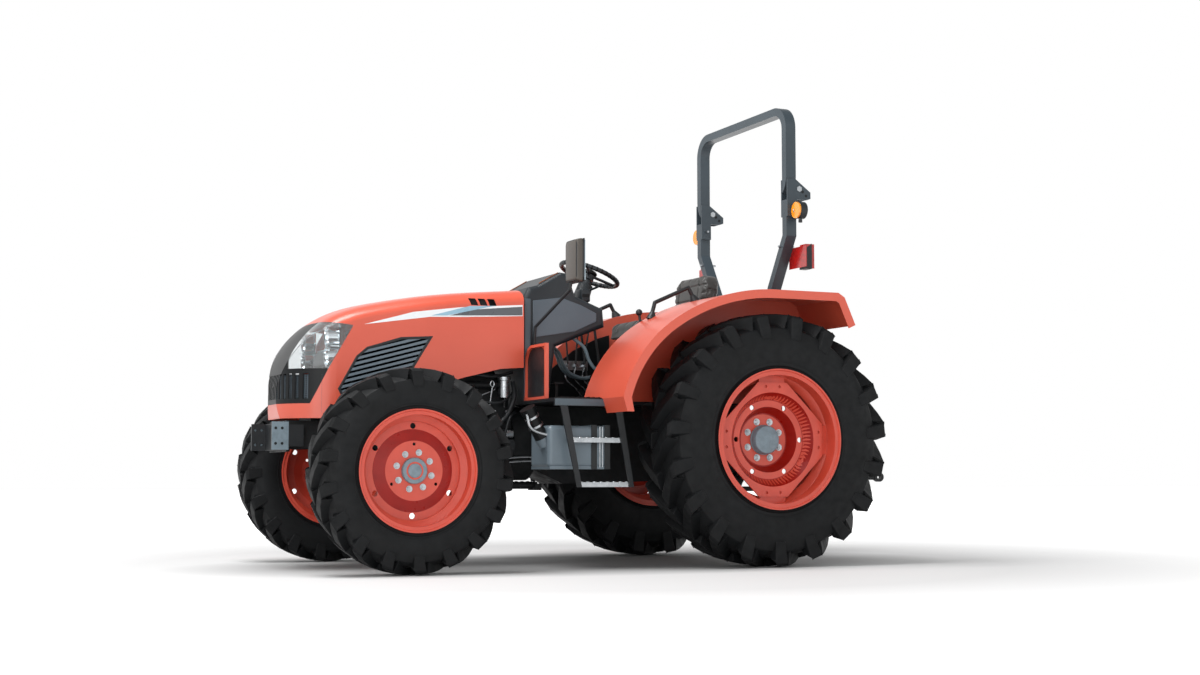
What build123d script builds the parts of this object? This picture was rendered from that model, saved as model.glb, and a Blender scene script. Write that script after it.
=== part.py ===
from build123d import *
import os
from math import atan2, cos, degrees, radians, sin, sqrt

# Farm tractor with four driven wheels, open platform and folding roll bar.
# Millimetres, +X forward, +Y to the driver's left, +Z up, ground at Z = 0.
# Fore-and-aft places are given as distances ahead of the rear axle, through ahead().

os.makedirs("parts", exist_ok=True)

# Main reaches
wheelbase = 2163
front_reach = 617
rear_reach = 1100
rear_axle_x = rear_reach - (rear_reach + wheelbase + front_reach) / 2
front_axle_x = rear_axle_x + wheelbase
front_end = wheelbase + front_reach

# Rear wheels, 16.9-30
rear_tyre_radius = 737.5
rear_tyre_width = 430
rear_track = 1660
fender_rise = 131
rear_seat_radius = 381
rear_rim_flange_radius = 407.5
rear_rim_width = 414

# Front wheels, 11.2-24
front_tyre_radius = 552.5
front_tyre_width = 285
front_track = 1662
front_seat_radius = 305
front_rim_flange_radius = 327.5
front_rim_width = 280

rim_wall = 8
disc_wall = 10

# Lugs, in two staggered rows on each tyre
rear_lugs = 19
rear_lug_height = 45
rear_lug_across = 62
rear_lug_reach = 120
rear_lug_sweep = 16
front_lugs = 18
front_lug_height = 36
front_lug_across = 48
front_lug_reach = 88
front_lug_sweep = 15
lug_flare = 1.35
lug_overlap = 10
lug_shoulder_drop = 5
lug_root = 20

# Running gear
running_fit = 0.05
moving_gap = 6
kingpin_y = 700
kingpin_radius = 20
steering_arm = 155
front_hub_radius = 30
rear_hub_radius = 35
front_boss_half = 75
knuckle_plate = 25

# Hood
hood_half_width = 330
hood_wall = 4
hood_crown = 40
hood_shoulder = 60
slot_width = 44
slot_pitch = 57
nose_band_half = 190
vent_frame = 15
louvre_pitch = 27
louvre_gap = 15
hinge_x = 1331
hinge_z = 1595

# Platform and fenders
deck_top = 965
deck_thickness = 20
beam_depth = 45
platform_half_width = 750
platform_rear = 839
platform_front = 1296
seat_deck_top = 1200
fender_inner_y = 475
fender_outer_y = 1030
fender_wall = 5
fender_lip = 50

# Roll bar
rops_x = -350
rops_tube_x = 70
rops_tube_y = 50
rops_half_width = 590
rops_top = 2820
rops_corner = 145
rops_bend = 160
rops_pivot_x = -398
rops_pivot_z = 2292
rops_post_top = 2225
rops_pin_radius = 10


def ahead(distance):
    """X of a place so far ahead of the rear axle."""
    return rear_axle_x + distance


def block(x, y, z, mode=Mode.ADD):
    """A square-edged block between two values on each axis."""
    with Locations(((x[0] + x[1]) / 2, (y[0] + y[1]) / 2, (z[0] + z[1]) / 2)):
        Box(x[1] - x[0], y[1] - y[0], z[1] - z[0], mode=mode)


def bar(start, end, radius, mode=Mode.ADD):
    """A round bar from one centre to another."""
    run = Vector(*end) - Vector(*start)
    with Locations(Plane(origin=start, z_dir=run)):
        Cylinder(radius, run.length, align=(Align.CENTER, Align.CENTER, Align.MIN), mode=mode)


def save(piece, name):
    piece.part.label = name
    export_step(piece.part, f"parts/{name}.step")


def wheel_plane(x, y, z, side):
    """Sketch plane through a wheel's axle: local x points outboard, local y up."""
    return Plane(origin=(x, y * side, z), x_dir=(0, side, 0), z_dir=(side, 0, 0))


def lug_section(u, turn, lean, top, foot, across):
    """A lug's section square to the axle, so far out along it, wider at its foot."""
    corners = []
    for radius, offset in ((top, -across / 2), (top, across / 2),
                           (foot, lug_flare * across / 2), (foot, -lug_flare * across / 2)):
        corners.append((radius * cos(turn) - offset * sin(lean),
                        radius * sin(turn) + offset * cos(lean)))
    with BuildSketch(Plane.XY.offset(u)) as section:
        with BuildLine():
            Polyline(corners, close=True)
        make_face()
    return section.sketch


def make_lug(radius, half, height, across, reach, sweep):
    """One lug, from past the middle of the tread to its shoulder, the axle along Z.

    Its sections lean by half its sweep, and its leading corner stands at the tyre's radius.
    """
    lean = radians(sweep) / 2
    wide = 1.2 * across
    tip = sqrt(radius ** 2 - (wide / 2 * cos(lean)) ** 2) - wide / 2 * sin(lean)
    centre_end = lug_section(-lug_overlap, 2 * lean, lean, tip, radius - height - lug_root, wide)
    shoulder_end = lug_section(0.95 * half, 0, lean, tip - lug_shoulder_drop, radius - reach, across)
    with BuildPart() as lug:
        loft([centre_end, shoulder_end], ruled=True)
    tip_turn = atan2(tip * sin(2 * lean) + wide / 2 * cos(lean),
                     tip * cos(2 * lean) - wide / 2 * sin(lean))
    return lug.part, degrees(tip_turn)


def make_tyres(x, track, radius, width, seat_radius, seat_half, flange_radius, lugs, lug, tip_turn,
               crown, name):
    """The left tyre, faceted between its lugs, and the right one as its mirror image."""
    half = width / 2
    bead = seat_half - 6
    widest = flange_radius + 0.6 * (crown - flange_radius)
    outboard = [(bead, flange_radius + 4), (half, widest), (0.88 * half, crown)]
    rings = []
    for u, ring_radius in [(-u, r) for u, r in outboard] + outboard[::-1]:
        with BuildSketch(Plane.XY.offset(u)) as ring:
            RegularPolygon(ring_radius, lugs)
        rings.append(ring.sketch)
    with BuildPart() as carcass:
        loft(rings, ruled=True)
        with BuildSketch(Plane.XY.offset(-half)):
            RegularPolygon(seat_radius + running_fit, lugs, major_radius=False)
        extrude(amount=width, mode=Mode.SUBTRACT)
    pitch = 360 / lugs
    lowest = 90 - tip_turn
    centre = Plane(origin=(x, track / 2, radius), x_dir=(1, 0, 0), z_dir=(0, 1, 0))
    with BuildPart(centre) as left_tyre:
        add(carcass.part)
        with PolarLocations(0, lugs, start_angle=lowest):
            add(lug)
        with PolarLocations(0, lugs, start_angle=lowest + pitch / 2):
            add(mirror(lug, about=Plane.XY, mode=Mode.PRIVATE))
    with BuildPart() as right_tyre:
        mirror(left_tyre.part, about=Plane.XZ)
    save(left_tyre, f"{name}_left")
    save(right_tyre, f"{name}_right")


def rim_outline(seat_radius, flange_radius, width, well_radius):
    """Half section of a rim, from its middle to its outboard flange and back inside."""
    edge = width / 2
    seat_half = edge - 17
    outer = [
        (0, well_radius),
        (0.35 * seat_half, well_radius),
        (0.55 * seat_half, seat_radius),
        (seat_half, seat_radius),
        (seat_half, flange_radius - rim_wall),
        (edge, flange_radius),
    ]
    inner = [
        (edge, flange_radius - rim_wall),
        (seat_half + rim_wall, flange_radius - 1.5 * rim_wall),
        (seat_half + rim_wall, seat_radius - rim_wall),
        (0.55 * seat_half + 3, seat_radius - rim_wall),
        (0.35 * seat_half + 3, well_radius - rim_wall),
        (0, well_radius - rim_wall),
    ]
    return outer + inner


def rim_section(plane, outline, turn):
    """Half of a rim's section, outboard for a turn of 1 and inboard for -1."""
    with BuildSketch(plane) as section:
        with BuildLine():
            Polyline([(turn * u, v) for u, v in outline], close=True)
        make_face()
    return section.sketch


# Rear wheels: rim, dished disc with eight lugs' flats, hub and the stub in the axle
rear_y = rear_track / 2
rear_seat_half = rear_rim_width / 2 - 17
rear_plate_u = 117
rear_hub_u = -10
rear_plate_apothem = 332
rear_flat_half = 95
rear_trumpet_end = 800
rear_rim = rim_outline(rear_seat_radius, rear_rim_flange_radius, rear_rim_width, 345)

rear_lug, rear_tip_turn = make_lug(rear_tyre_radius, rear_tyre_width / 2, rear_lug_height,
                                   rear_lug_across, rear_lug_reach, rear_lug_sweep)
make_tyres(rear_axle_x, rear_track, rear_tyre_radius, rear_tyre_width, rear_seat_radius,
           rear_seat_half, rear_rim_flange_radius, rear_lugs, rear_lug, rear_tip_turn,
           rear_tyre_radius - rear_lug_height, "rear_tyre")

for side, name in ((1, "left"), (-1, "right")):
    axle = Axis((rear_axle_x, 0, rear_tyre_radius), (0, 1, 0))
    wheel = wheel_plane(rear_axle_x, rear_y, rear_tyre_radius, side)
    plate_plane = Plane(
        origin=(rear_axle_x, (rear_y + rear_plate_u) * side, rear_tyre_radius),
        x_dir=(1, 0, 0), z_dir=(0, side, 0),
    )
    corner = (rear_flat_half, rear_plate_apothem)
    with BuildPart() as rear_wheel:
        for turn in (1, -1):
            revolve(rim_section(wheel, rear_rim, turn), axis=axle)
        with BuildSketch(wheel):
            with BuildLine():
                Polyline(
                    (rear_plate_u, 285), (rear_plate_u, 274), (60, 234), (60, 192),
                    (rear_hub_u + disc_wall, 158), (rear_hub_u + disc_wall, 20),
                    (rear_hub_u, 20), (rear_hub_u, 166), (50, 200), (50, 240),
                    (rear_plate_u - disc_wall, 280), (rear_plate_u - disc_wall, 285),
                    close=True,
                )
            make_face()
        revolve(axis=axle)
        with BuildSketch(plate_plane):
            with BuildLine():
                Polyline(
                    corner, corner[::-1], (corner[1], -corner[0]), (corner[0], -corner[1]),
                    (-corner[0], -corner[1]), (-corner[1], -corner[0]),
                    (-corner[1], corner[0]), (-corner[0], corner[1]),
                    close=True,
                )
            make_face()
            Circle(280, mode=Mode.SUBTRACT)
        extrude(amount=-disc_wall)
        with BuildSketch(plate_plane.offset(-disc_wall)):
            Rectangle(2 * rear_flat_half - 20, 800)
            Rectangle(800, 2 * rear_flat_half - 20)
            Circle(372, mode=Mode.INTERSECT)
            Circle(297, mode=Mode.SUBTRACT)
        extrude(amount=-disc_wall)
        bar((rear_axle_x, side * (rear_y + 44), rear_tyre_radius),
            (rear_axle_x, side * (rear_trumpet_end + moving_gap), rear_tyre_radius), 81)
        bar((rear_axle_x, side * (rear_y + rear_hub_u), rear_tyre_radius),
            (rear_axle_x, side * (rear_trumpet_end + moving_gap), rear_tyre_radius), 140)
        bar((rear_axle_x, side * rear_y, rear_tyre_radius),
            (rear_axle_x, side * (rear_trumpet_end - 140), rear_tyre_radius), rear_hub_radius)
        with BuildSketch(plate_plane):
            for turn in range(4):
                with PolarLocations(rear_plate_apothem - 24, 1, start_angle=90 * turn):
                    with Locations((0, -45), (0, 45)):
                        Circle(9)
        extrude(amount=-disc_wall, mode=Mode.SUBTRACT)
        with BuildSketch(plate_plane.offset(60 - rear_plate_u)):
            with PolarLocations(213, 6):
                Circle(15)
        extrude(amount=-disc_wall, mode=Mode.SUBTRACT)
        with BuildSketch(plate_plane.offset(rear_hub_u + disc_wall - rear_plate_u)):
            with PolarLocations(113, 8, start_angle=22.5):
                Circle(12)
        extrude(amount=-disc_wall, mode=Mode.SUBTRACT)
    save(rear_wheel, f"rear_wheel_{name}")

# Front wheels: rim, disc pressed outwards at its middle, hub and its stub
front_y = front_track / 2
front_seat_half = front_rim_width / 2 - 17
front_ring_u = 29
front_hub_u = 53
knuckle_face_y = 810
front_rim = rim_outline(front_seat_radius, front_rim_flange_radius, front_rim_width, 272)

front_lug, front_tip_turn = make_lug(front_tyre_radius, front_tyre_width / 2, front_lug_height,
                                     front_lug_across, front_lug_reach, front_lug_sweep)
make_tyres(front_axle_x, front_track, front_tyre_radius, front_tyre_width, front_seat_radius,
           front_seat_half, front_rim_flange_radius, front_lugs, front_lug, front_tip_turn,
           front_tyre_radius - front_lug_height, "front_tyre")

for side, name in ((1, "left"), (-1, "right")):
    axle = Axis((front_axle_x, 0, front_tyre_radius), (0, 1, 0))
    wheel = wheel_plane(front_axle_x, front_y, front_tyre_radius, side)
    with BuildPart() as front_wheel:
        for turn in (1, -1):
            revolve(rim_section(wheel, front_rim, turn), axis=axle)
        with BuildSketch(wheel):
            with BuildLine():
                Polyline(
                    (front_ring_u, 268), (front_ring_u, 218), (front_hub_u, 163),
                    (front_hub_u, 20), (front_hub_u - disc_wall, 20),
                    (front_hub_u - disc_wall, 158), (front_ring_u - disc_wall, 212),
                    (front_ring_u - disc_wall, 268),
                    close=True,
                )
            make_face()
        revolve(axis=axle)
        bar((front_axle_x, side * (front_y + 70), front_tyre_radius),
            (front_axle_x, side * (front_y + front_hub_u - disc_wall), front_tyre_radius), 66)
        bar((front_axle_x, side * (front_y + front_hub_u - disc_wall), front_tyre_radius),
            (front_axle_x, side * (knuckle_face_y + moving_gap), front_tyre_radius), 110)
        bar((front_axle_x, side * (front_y + 20), front_tyre_radius),
            (front_axle_x, side * (kingpin_y + 62), front_tyre_radius), front_hub_radius)
        for ring_radius, holes, hole_radius, u in (
            (240, 6, 16, front_ring_u), (142, 3, 9, front_hub_u), (100, 8, 10, front_hub_u),
        ):
            with BuildSketch(Plane(origin=(front_axle_x, side * (front_y + u), front_tyre_radius),
                                   x_dir=(1, 0, 0), z_dir=(0, side, 0))):
                with PolarLocations(ring_radius, holes, start_angle=30):
                    Circle(hole_radius)
            extrude(amount=-disc_wall, mode=Mode.SUBTRACT)
    save(front_wheel, f"front_wheel_{name}")

# Steering knuckles: a C round the axle's boss, with its kingpin, hub wall and arm
hub_z = front_tyre_radius
boss_radius = 48
knuckle_half = front_boss_half + 2 + knuckle_plate
arm_z = (hub_z - 48, hub_z - 20)
rod_z = hub_z

for side, name in ((1, "left"), (-1, "right")):
    with BuildPart() as knuckle:
        block((front_axle_x - 60, front_axle_x + 60),
              (side * 760, side * knuckle_face_y) if side > 0 else (-knuckle_face_y, -760),
              (hub_z - knuckle_half, hub_z + knuckle_half))
        for low in (hub_z - knuckle_half, hub_z + front_boss_half + 2):
            with BuildSketch(Plane.XY.offset(low)):
                with Locations((front_axle_x, side * kingpin_y)):
                    Circle(50)
                with Locations((front_axle_x, side * 775)):
                    Rectangle(110, 30)
                make_hull()
            extrude(amount=knuckle_plate)
        bar((front_axle_x, side * kingpin_y, hub_z - knuckle_half),
            (front_axle_x, side * kingpin_y, hub_z + knuckle_half), kingpin_radius)
        with BuildSketch(Plane.XY.offset(arm_z[0])):
            with Locations((front_axle_x + steering_arm, side * kingpin_y)):
                Circle(24)
            with Locations((front_axle_x + 30, side * 785)):
                Circle(22)
            make_hull()
        extrude(amount=arm_z[1] - arm_z[0])
        bar((front_axle_x, side * (knuckle_face_y + 1), hub_z),
            (front_axle_x, side * (kingpin_y + 58), hub_z), front_hub_radius + running_fit,
            mode=Mode.SUBTRACT)
    save(knuckle, f"knuckle_{name}")

# Steering cylinder on the axle, and its rod through both ends
rod_x = front_axle_x + steering_arm
with BuildPart() as steering_cylinder:
    bar((rod_x, -210, rod_z), (rod_x, 210, rod_z), 28)
    for y in (-150, 150):
        block((front_axle_x + 80, rod_x), (y - 10, y + 10), (rod_z - 20, rod_z + 20))
    bar((rod_x, -211, rod_z), (rod_x, 211, rod_z), 14 + running_fit, mode=Mode.SUBTRACT)
save(steering_cylinder, "steering_cylinder")

with BuildPart() as steering_rod:
    bar((rod_x, -kingpin_y, rod_z), (rod_x, kingpin_y, rod_z), 14)
    for y in (-kingpin_y, kingpin_y):
        bar((rod_x, y, rod_z - 15), (rod_x, y, rod_z + 15), 24)
save(steering_rod, "steering_rod")

# Front axle: beam, housing on a fore-and-aft trunnion, and the bosses for the kingpins
with BuildPart() as front_axle:
    for side in (1, -1):
        with BuildSketch(wheel_plane(front_axle_x, 0, hub_z, side)):
            with BuildLine():
                Polyline((0, 0), (0, 78), (110, 72), (660, 46), (660, 0), close=True)
            make_face()
        revolve(axis=Axis((front_axle_x, 0, hub_z), (0, 1, 0)))
        bar((front_axle_x, side * kingpin_y, hub_z - front_boss_half),
            (front_axle_x, side * kingpin_y, hub_z + front_boss_half), boss_radius)
        block((front_axle_x, front_axle_x + 80), (side * 150 - 20, side * 150 + 20),
              (hub_z - 25, hub_z + 25))
    bar((front_axle_x - 95, 0, hub_z), (front_axle_x + 95, 0, hub_z), 105)
    bar((front_axle_x - 118, 0, hub_z), (front_axle_x + 118, 0, hub_z), 40 - running_fit)
    for side in (1, -1):
        bar((front_axle_x, side * kingpin_y, hub_z - front_boss_half - 1),
            (front_axle_x, side * kingpin_y, hub_z + front_boss_half + 1),
            kingpin_radius + running_fit, mode=Mode.SUBTRACT)
save(front_axle, "front_axle")

# Front frame: two rails with cross plates, and the hangers of the axle's trunnion
frame_bottom = 680
frame_top = 835
frame_plate = 20
bracket_length = 95
frame_end = front_end - bracket_length
with BuildPart() as front_frame:
    for y in ((170, 200), (-200, -170)):
        block((ahead(1620), ahead(frame_end)), y, (frame_bottom, frame_top))
    block((ahead(frame_end - frame_plate), ahead(frame_end)), (-200, 200),
          (frame_bottom - 20, frame_top))
    block((ahead(1950), ahead(frame_end - frame_plate)), (-170, 170),
          (frame_top - frame_plate, frame_top))
    for x in (front_axle_x - 118, front_axle_x + 100):
        with BuildSketch(Plane.YZ.offset(x)):
            with BuildLine():
                Polyline((-200, frame_bottom), (-75, hub_z - 62), (75, hub_z - 62),
                         (200, frame_bottom), (200, frame_bottom + 30),
                         (-200, frame_bottom + 30), close=True)
            make_face()
        extrude(amount=18)
    bar((front_axle_x - 119, 0, hub_z), (front_axle_x + 119, 0, hub_z), 40, mode=Mode.SUBTRACT)
save(front_frame, "front_frame")

with BuildPart() as weight_bracket:
    for y in ((200, 250), (-250, -200)):
        block((ahead(frame_end - 85), ahead(frame_end)), y, (frame_bottom + 10, frame_top - 25))
    for y in ((240, 252), (-252, -240)):
        block((ahead(frame_end), ahead(front_end)), y, (frame_bottom - 10, frame_top - 10))
    block((ahead(frame_end), ahead(frame_end + 15)), (-240, 240),
          (frame_bottom - 10, frame_top - 10))
    for x in (front_end - 58, front_end - 22):
        for z in (frame_bottom + 25, frame_top - 45):
            bar((ahead(x), -260, z), (ahead(x), 260, z), 8, mode=Mode.SUBTRACT)
save(weight_bracket, "weight_bracket")

# Engine: block, head with its cover, sump, and what hangs on its two sides
engine_front = 1940
engine_rear = 1330
block_half = 165
head_half = 125
head_top = 1130
with BuildPart() as engine:
    block((ahead(engine_rear), ahead(engine_front)), (-block_half, block_half), (600, 930))
    block((ahead(1360), ahead(1920)), (-head_half, head_half), (930, head_top))
    block((ahead(1380), ahead(1880)), (-140, 140), (520, 600))
    with BuildSketch(Plane.XY.offset(head_top)):
        with Locations((ahead(1640), 0)):
            RectangleRounded(500, 170, 40)
    extrude(amount=45, taper=12)
    bar((ahead(1450), block_half - 5, 760), (ahead(1450), block_half + 95, 760), 45)
    bar((ahead(1530), block_half + 35, 890), (ahead(1760), block_half + 35, 890), 38)
    block((ahead(1545), ahead(1745)), (block_half, block_half + 35), (860, 920))
    for cylinder in range(4):
        x = ahead(1440 + 125 * cylinder)
        bar((x, -head_half, 1020), (x, -head_half - 55, 1020), 24)
        bar((x, head_half - 5, 1060), (x, head_half + 35, 1060), 16)
    bar((ahead(1415), -head_half - 55, 1020), (ahead(1840), -head_half - 55, 1020), 32)
    bar((ahead(1415), head_half + 35, 1060), (ahead(1840), head_half + 35, 1060), 20)
    bar((ahead(1790), -block_half - 60, 908), (ahead(1930), -block_half - 60, 908), 62)
    block((ahead(1800), ahead(1920)), (-block_half - 60, -block_half), (870, 925))
    for z, radius in ((700, 80), (930, 62)):
        bar((ahead(engine_front), 0, z), (ahead(engine_front + 40), 0, z), radius)
save(engine, "engine")

with BuildPart() as radiator:
    block((ahead(2120), ahead(2220)), (-240, 240), (frame_top, 1330))
    block((ahead(2110), ahead(2230)), (-250, 250), (1330, 1380))
    bar((ahead(2170), 0, 1380), (ahead(2170), 0, 1400), 30)
    with BuildSketch(Plane.YZ.offset(ahead(2060))):
        with Locations((0, 1080)):
            Rectangle(480, 480)
            Circle(205, mode=Mode.SUBTRACT)
    extrude(amount=60)
save(radiator, "radiator")

with BuildPart() as battery:
    block((ahead(2330), ahead(2530)), (-130, 130), (frame_top, 1060))
save(battery, "battery")

with BuildPart() as air_cleaner:
    bar((ahead(2370), -170, 1190), (ahead(2370), 170, 1190), 75)
    block((ahead(2220), ahead(2330)), (-60, 60), (1170, 1210))
save(air_cleaner, "air_cleaner")

# Transmission and clutch housing
with BuildPart() as transmission:
    with BuildSketch(Plane.XZ):
        with BuildLine():
            Polyline((ahead(170), 500), (ahead(1000), 480), (ahead(1180), 560),
                     (ahead(1180), 940), (ahead(170), 940), close=True)
        make_face()
    extrude(amount=170, both=True)
    with BuildSketch(Plane.YZ.offset(ahead(1180))):
        with Locations((0, 720)):
            Circle(220)
    extrude(amount=150)
save(transmission, "transmission_housing")

# Four-wheel-drive shaft in its tube, below the engine
shaft_z = hub_z - 82
with BuildPart() as drive_shaft:
    bar((ahead(1130), 0, shaft_z), (front_axle_x - 119, 0, shaft_z), 22)
    block((ahead(1090), ahead(1130)), (-60, 60), (shaft_z - 30, shaft_z + 10))
save(drive_shaft, "drive_shaft")

# Rear axle: centre housing, lift cover, trumpets with pads, and bores for the hub stubs
with BuildPart() as rear_axle:
    block((ahead(-260), ahead(170)), (-190, 190), (500, 980))
    block((ahead(-260), ahead(120)), (-150, 150), (980, 1100))
    for side in (1, -1):
        with BuildSketch(wheel_plane(rear_axle_x, 0, rear_tyre_radius, side)):
            with BuildLine():
                Polyline((180, 0), (180, 125), (320, 112), (740, 88), (740, 130),
                         (rear_trumpet_end, 130), (rear_trumpet_end, 0), close=True)
            make_face()
        revolve(axis=Axis((rear_axle_x, 0, rear_tyre_radius), (0, 1, 0)))
        block((ahead(-125), ahead(125)), (side * 375 - 45, side * 375 + 45),
              (rear_tyre_radius - 100, rear_tyre_radius + 100))
        block((ahead(-60), ahead(60)), (side * 465 - 10, side * 465 + 10),
              (rear_tyre_radius + 62, 1050))
    for side in (1, -1):
        bar((rear_axle_x, side * (rear_trumpet_end + 1), rear_tyre_radius),
            (rear_axle_x, side * (rear_trumpet_end - 145), rear_tyre_radius),
            rear_hub_radius + running_fit, mode=Mode.SUBTRACT)
    bar((ahead(-180), -151, 1040), (ahead(-180), 151, 1040), 25 + running_fit,
        mode=Mode.SUBTRACT)
save(rear_axle, "rear_axle")

# Floor between the fenders, footplates outside it, riser and seat deck
with BuildPart() as floor_platform:
    block((ahead(400), ahead(platform_front)), (-fender_inner_y, fender_inner_y),
          (deck_top - deck_thickness, deck_top))
    for y in ((fender_inner_y, platform_half_width), (-platform_half_width, -fender_inner_y)):
        block((ahead(platform_rear), ahead(platform_front)), y,
              (deck_top - deck_thickness, deck_top))
    for y in (platform_half_width - 12, -platform_half_width):
        block((ahead(platform_rear), ahead(platform_front)), (y, y + 12),
              (deck_top - beam_depth, deck_top))
    block((ahead(390), ahead(400)), (-fender_inner_y, fender_inner_y),
          (deck_top - deck_thickness, seat_deck_top))
    block((ahead(-230), ahead(400)), (-fender_inner_y, fender_inner_y),
          (seat_deck_top - 20, seat_deck_top))
save(floor_platform, "floor_platform")

# Cowl: hollow, with the instrument hood on its rear top, open underneath
column_top = Vector(ahead(750), 0, 1770)
column_axis = Vector(-0.357, 0, 0.934).normalized()
cowl_front = 1297
cowl_half_width = 280
cowl_wall = 6
cowl_edge = 28
cowl_outline = [
    (ahead(cowl_front), deck_top), (ahead(cowl_front), 1575), (ahead(1265), 1640),
    (ahead(1207), 1655), (ahead(1060), 1740), (ahead(1010), 1735), (ahead(960), 1600),
    (ahead(780), 1530), (ahead(770), 1420), (ahead(950), 1350), (ahead(1090), 1290),
    (ahead(1130), deck_top),
]
with BuildSketch(Plane.XZ) as cowl_side:
    with BuildLine():
        Polyline(cowl_outline, close=True)
    make_face()
    soft_corners = [v for v in vertices() if v.X < ahead(1240) and v.Z > deck_top + 10]
    fillet(soft_corners, radius=24)
with BuildSketch(Plane.XZ) as cowl_inside:
    offset(cowl_side.sketch, amount=-cowl_wall, kind=Kind.INTERSECTION)


def cowl_form(view, half, edge):
    """A cowl of the given side view and half width, its side rims rounded."""
    with BuildPart() as form:
        extrude(view, amount=half, both=True)
        rims = [e for e in form.edges() if abs(abs(e.center().Y) - half) < 1
                and e.center().Z > deck_top + 10 and e.center().X < ahead(cowl_front - 7)]
        fillet(rims, radius=edge)
    return form.part


with BuildPart() as cowl:
    add(cowl_form(cowl_side.sketch, cowl_half_width, cowl_edge))
    add(cowl_form(cowl_inside.sketch, cowl_half_width - cowl_wall, cowl_edge - cowl_wall),
        mode=Mode.SUBTRACT)
    block((ahead(1136), ahead(cowl_front - cowl_wall)),
          (cowl_edge - cowl_half_width, cowl_half_width - cowl_edge),
          (deck_top - 1, deck_top + 10), mode=Mode.SUBTRACT)
    foot = column_top - column_axis * 500
    bar(column_top, foot, 30, mode=Mode.SUBTRACT)
save(cowl, "cowl")

# Steering column, and the wheel on its shaft in it
column_start = column_top - column_axis * 40
column_end = column_top - column_axis * 330
with BuildPart() as steering_column:
    bar(column_start, column_end, 30)
    bar(column_start + column_axis, column_end - column_axis, 11 + running_fit,
        mode=Mode.SUBTRACT)
save(steering_column, "steering_column")

wheel_plane_steering = Plane(origin=column_top, x_dir=(0, 1, 0), z_dir=column_axis)
with BuildPart() as steering_wheel:
    with Locations(wheel_plane_steering):
        Torus(183, 14)
    bar(column_top - column_axis * 34, column_top + column_axis * 12, 36)
    bar(column_top - column_axis * 20, column_top - column_axis * 200, 11)
    for turn in range(3):
        spoke = Vector(1, 0, 0).rotate(Axis.Z, 90 + 120 * turn)
        far = wheel_plane_steering.from_local_coords(spoke * 180)
        bar(column_top - column_axis * 6, far, 9)
save(steering_wheel, "steering_wheel")

# Front shields beside the cowl: a plate in a raised rim, rounded at its outer top corner
shield_size = 320
shield_bead = 16
with BuildPart() as front_shields:
    for side in (1, -1):
        with BuildSketch(Plane.YZ.offset(ahead(1270))) as shield:
            with Locations((side * (cowl_half_width + shield_size / 2), deck_top + shield_size / 2)):
                Rectangle(shield_size, shield_size)
            outer_top = shield.vertices().sort_by(lambda v: side * v.Y + v.Z)[-1]
            fillet(outer_top, radius=110)
        extrude(shield.sketch, amount=6)
        with BuildSketch(Plane.YZ.offset(ahead(1270))) as shield_rim:
            add(shield.sketch_local)
            offset(shield.sketch_local, amount=-shield_bead, mode=Mode.SUBTRACT)
        extrude(shield_rim.sketch, amount=22)
save(front_shields, "front_shields")

# Steps under the platform: two raked hangers with two treads on each side
with BuildPart() as steps:
    for side in (1, -1):
        for top_x, bottom_x in ((1237, 1140), (900, 815)):
            with BuildSketch(Plane.XZ.offset(-side * 748)):
                with BuildLine():
                    Polyline((ahead(top_x - 22), deck_top - beam_depth),
                             (ahead(top_x + 22), deck_top - beam_depth),
                             (ahead(bottom_x + 14), 462), (ahead(bottom_x - 14), 462),
                             close=True)
                make_face()
            extrude(amount=side * 12)
        for front_x, rear_x, z in ((1185, 855, 727), (1135, 810, 475)):
            block((ahead(rear_x), ahead(front_x)),
                  (690, 736) if side > 0 else (-736, -690), (z - 12, z + 12))
save(steps, "steps")

# Fuel tanks with rounded edges on their trays, strapped down, and the left one's filler neck
tank_x = (919, 1303)
tank_y = (400, 680)
tank_z = (570, 812)
tray_wall = 6
strap = (36, 3)
with BuildPart() as fuel_tanks:
    for side in (1, -1):
        tank_sides = tank_y if side > 0 else (-tank_y[1], -tank_y[0])
        with Locations((ahead(sum(tank_x) / 2), side * sum(tank_y) / 2, sum(tank_z) / 2)):
            tank = Box(tank_x[1] - tank_x[0], tank_y[1] - tank_y[0], tank_z[1] - tank_z[0])
        fillet(tank.edges(), radius=28)
        block((ahead(tank_x[0] + 8), ahead(tank_x[1] - 8)), tank_sides,
              (tank_z[0] - tray_wall, tank_z[0] + 12))
        for x in (941, 1023):
            block((ahead(x - strap[0] / 2), ahead(x + strap[0] / 2)),
                  (tank_sides[0] - strap[1], tank_sides[1] + strap[1]),
                  (tank_z[0] - tray_wall, tank_z[1] + strap[1]))
    bar((ahead(1290), 600, 700), (ahead(1400), 620, 890), 40)
    bar((ahead(1396), 619, 883), (ahead(1410), 622, 907), 46)
save(fuel_tanks, "fuel_tanks")

# Fenders: a wall inside the tyre, the arched top, and a lip outside
fender_top = 2 * rear_tyre_radius + fender_rise
fender_tail = [(-521, fender_top - 188), (-448, fender_top - 26), (-405, fender_top),
               (25, fender_top)]
fender_crest = (681, fender_top - 198)
fender_toe = (999, deck_top)
toe_drop = 82
toe_rake = 24


def station(point):
    return (ahead(point[0]), point[1])


def arch_band(depth):
    """The side view of a band of a given depth under the fender's top line."""
    with BuildSketch(Plane.XZ) as band:
        with BuildLine():
            Polyline([station(p) for p in fender_tail])
            over = TangentArc(station(fender_tail[-1]), station(fender_crest), tangent=(1, 0))
            TangentArc(station(fender_crest), station(fender_toe), tangent=over % 1)
            offset(amount=depth, side=Side.RIGHT)
        make_face()
        with Locations((ahead(fender_toe[0]), deck_top - 100)):
            Rectangle(200, 200, mode=Mode.SUBTRACT)
    return band.sketch


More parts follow.
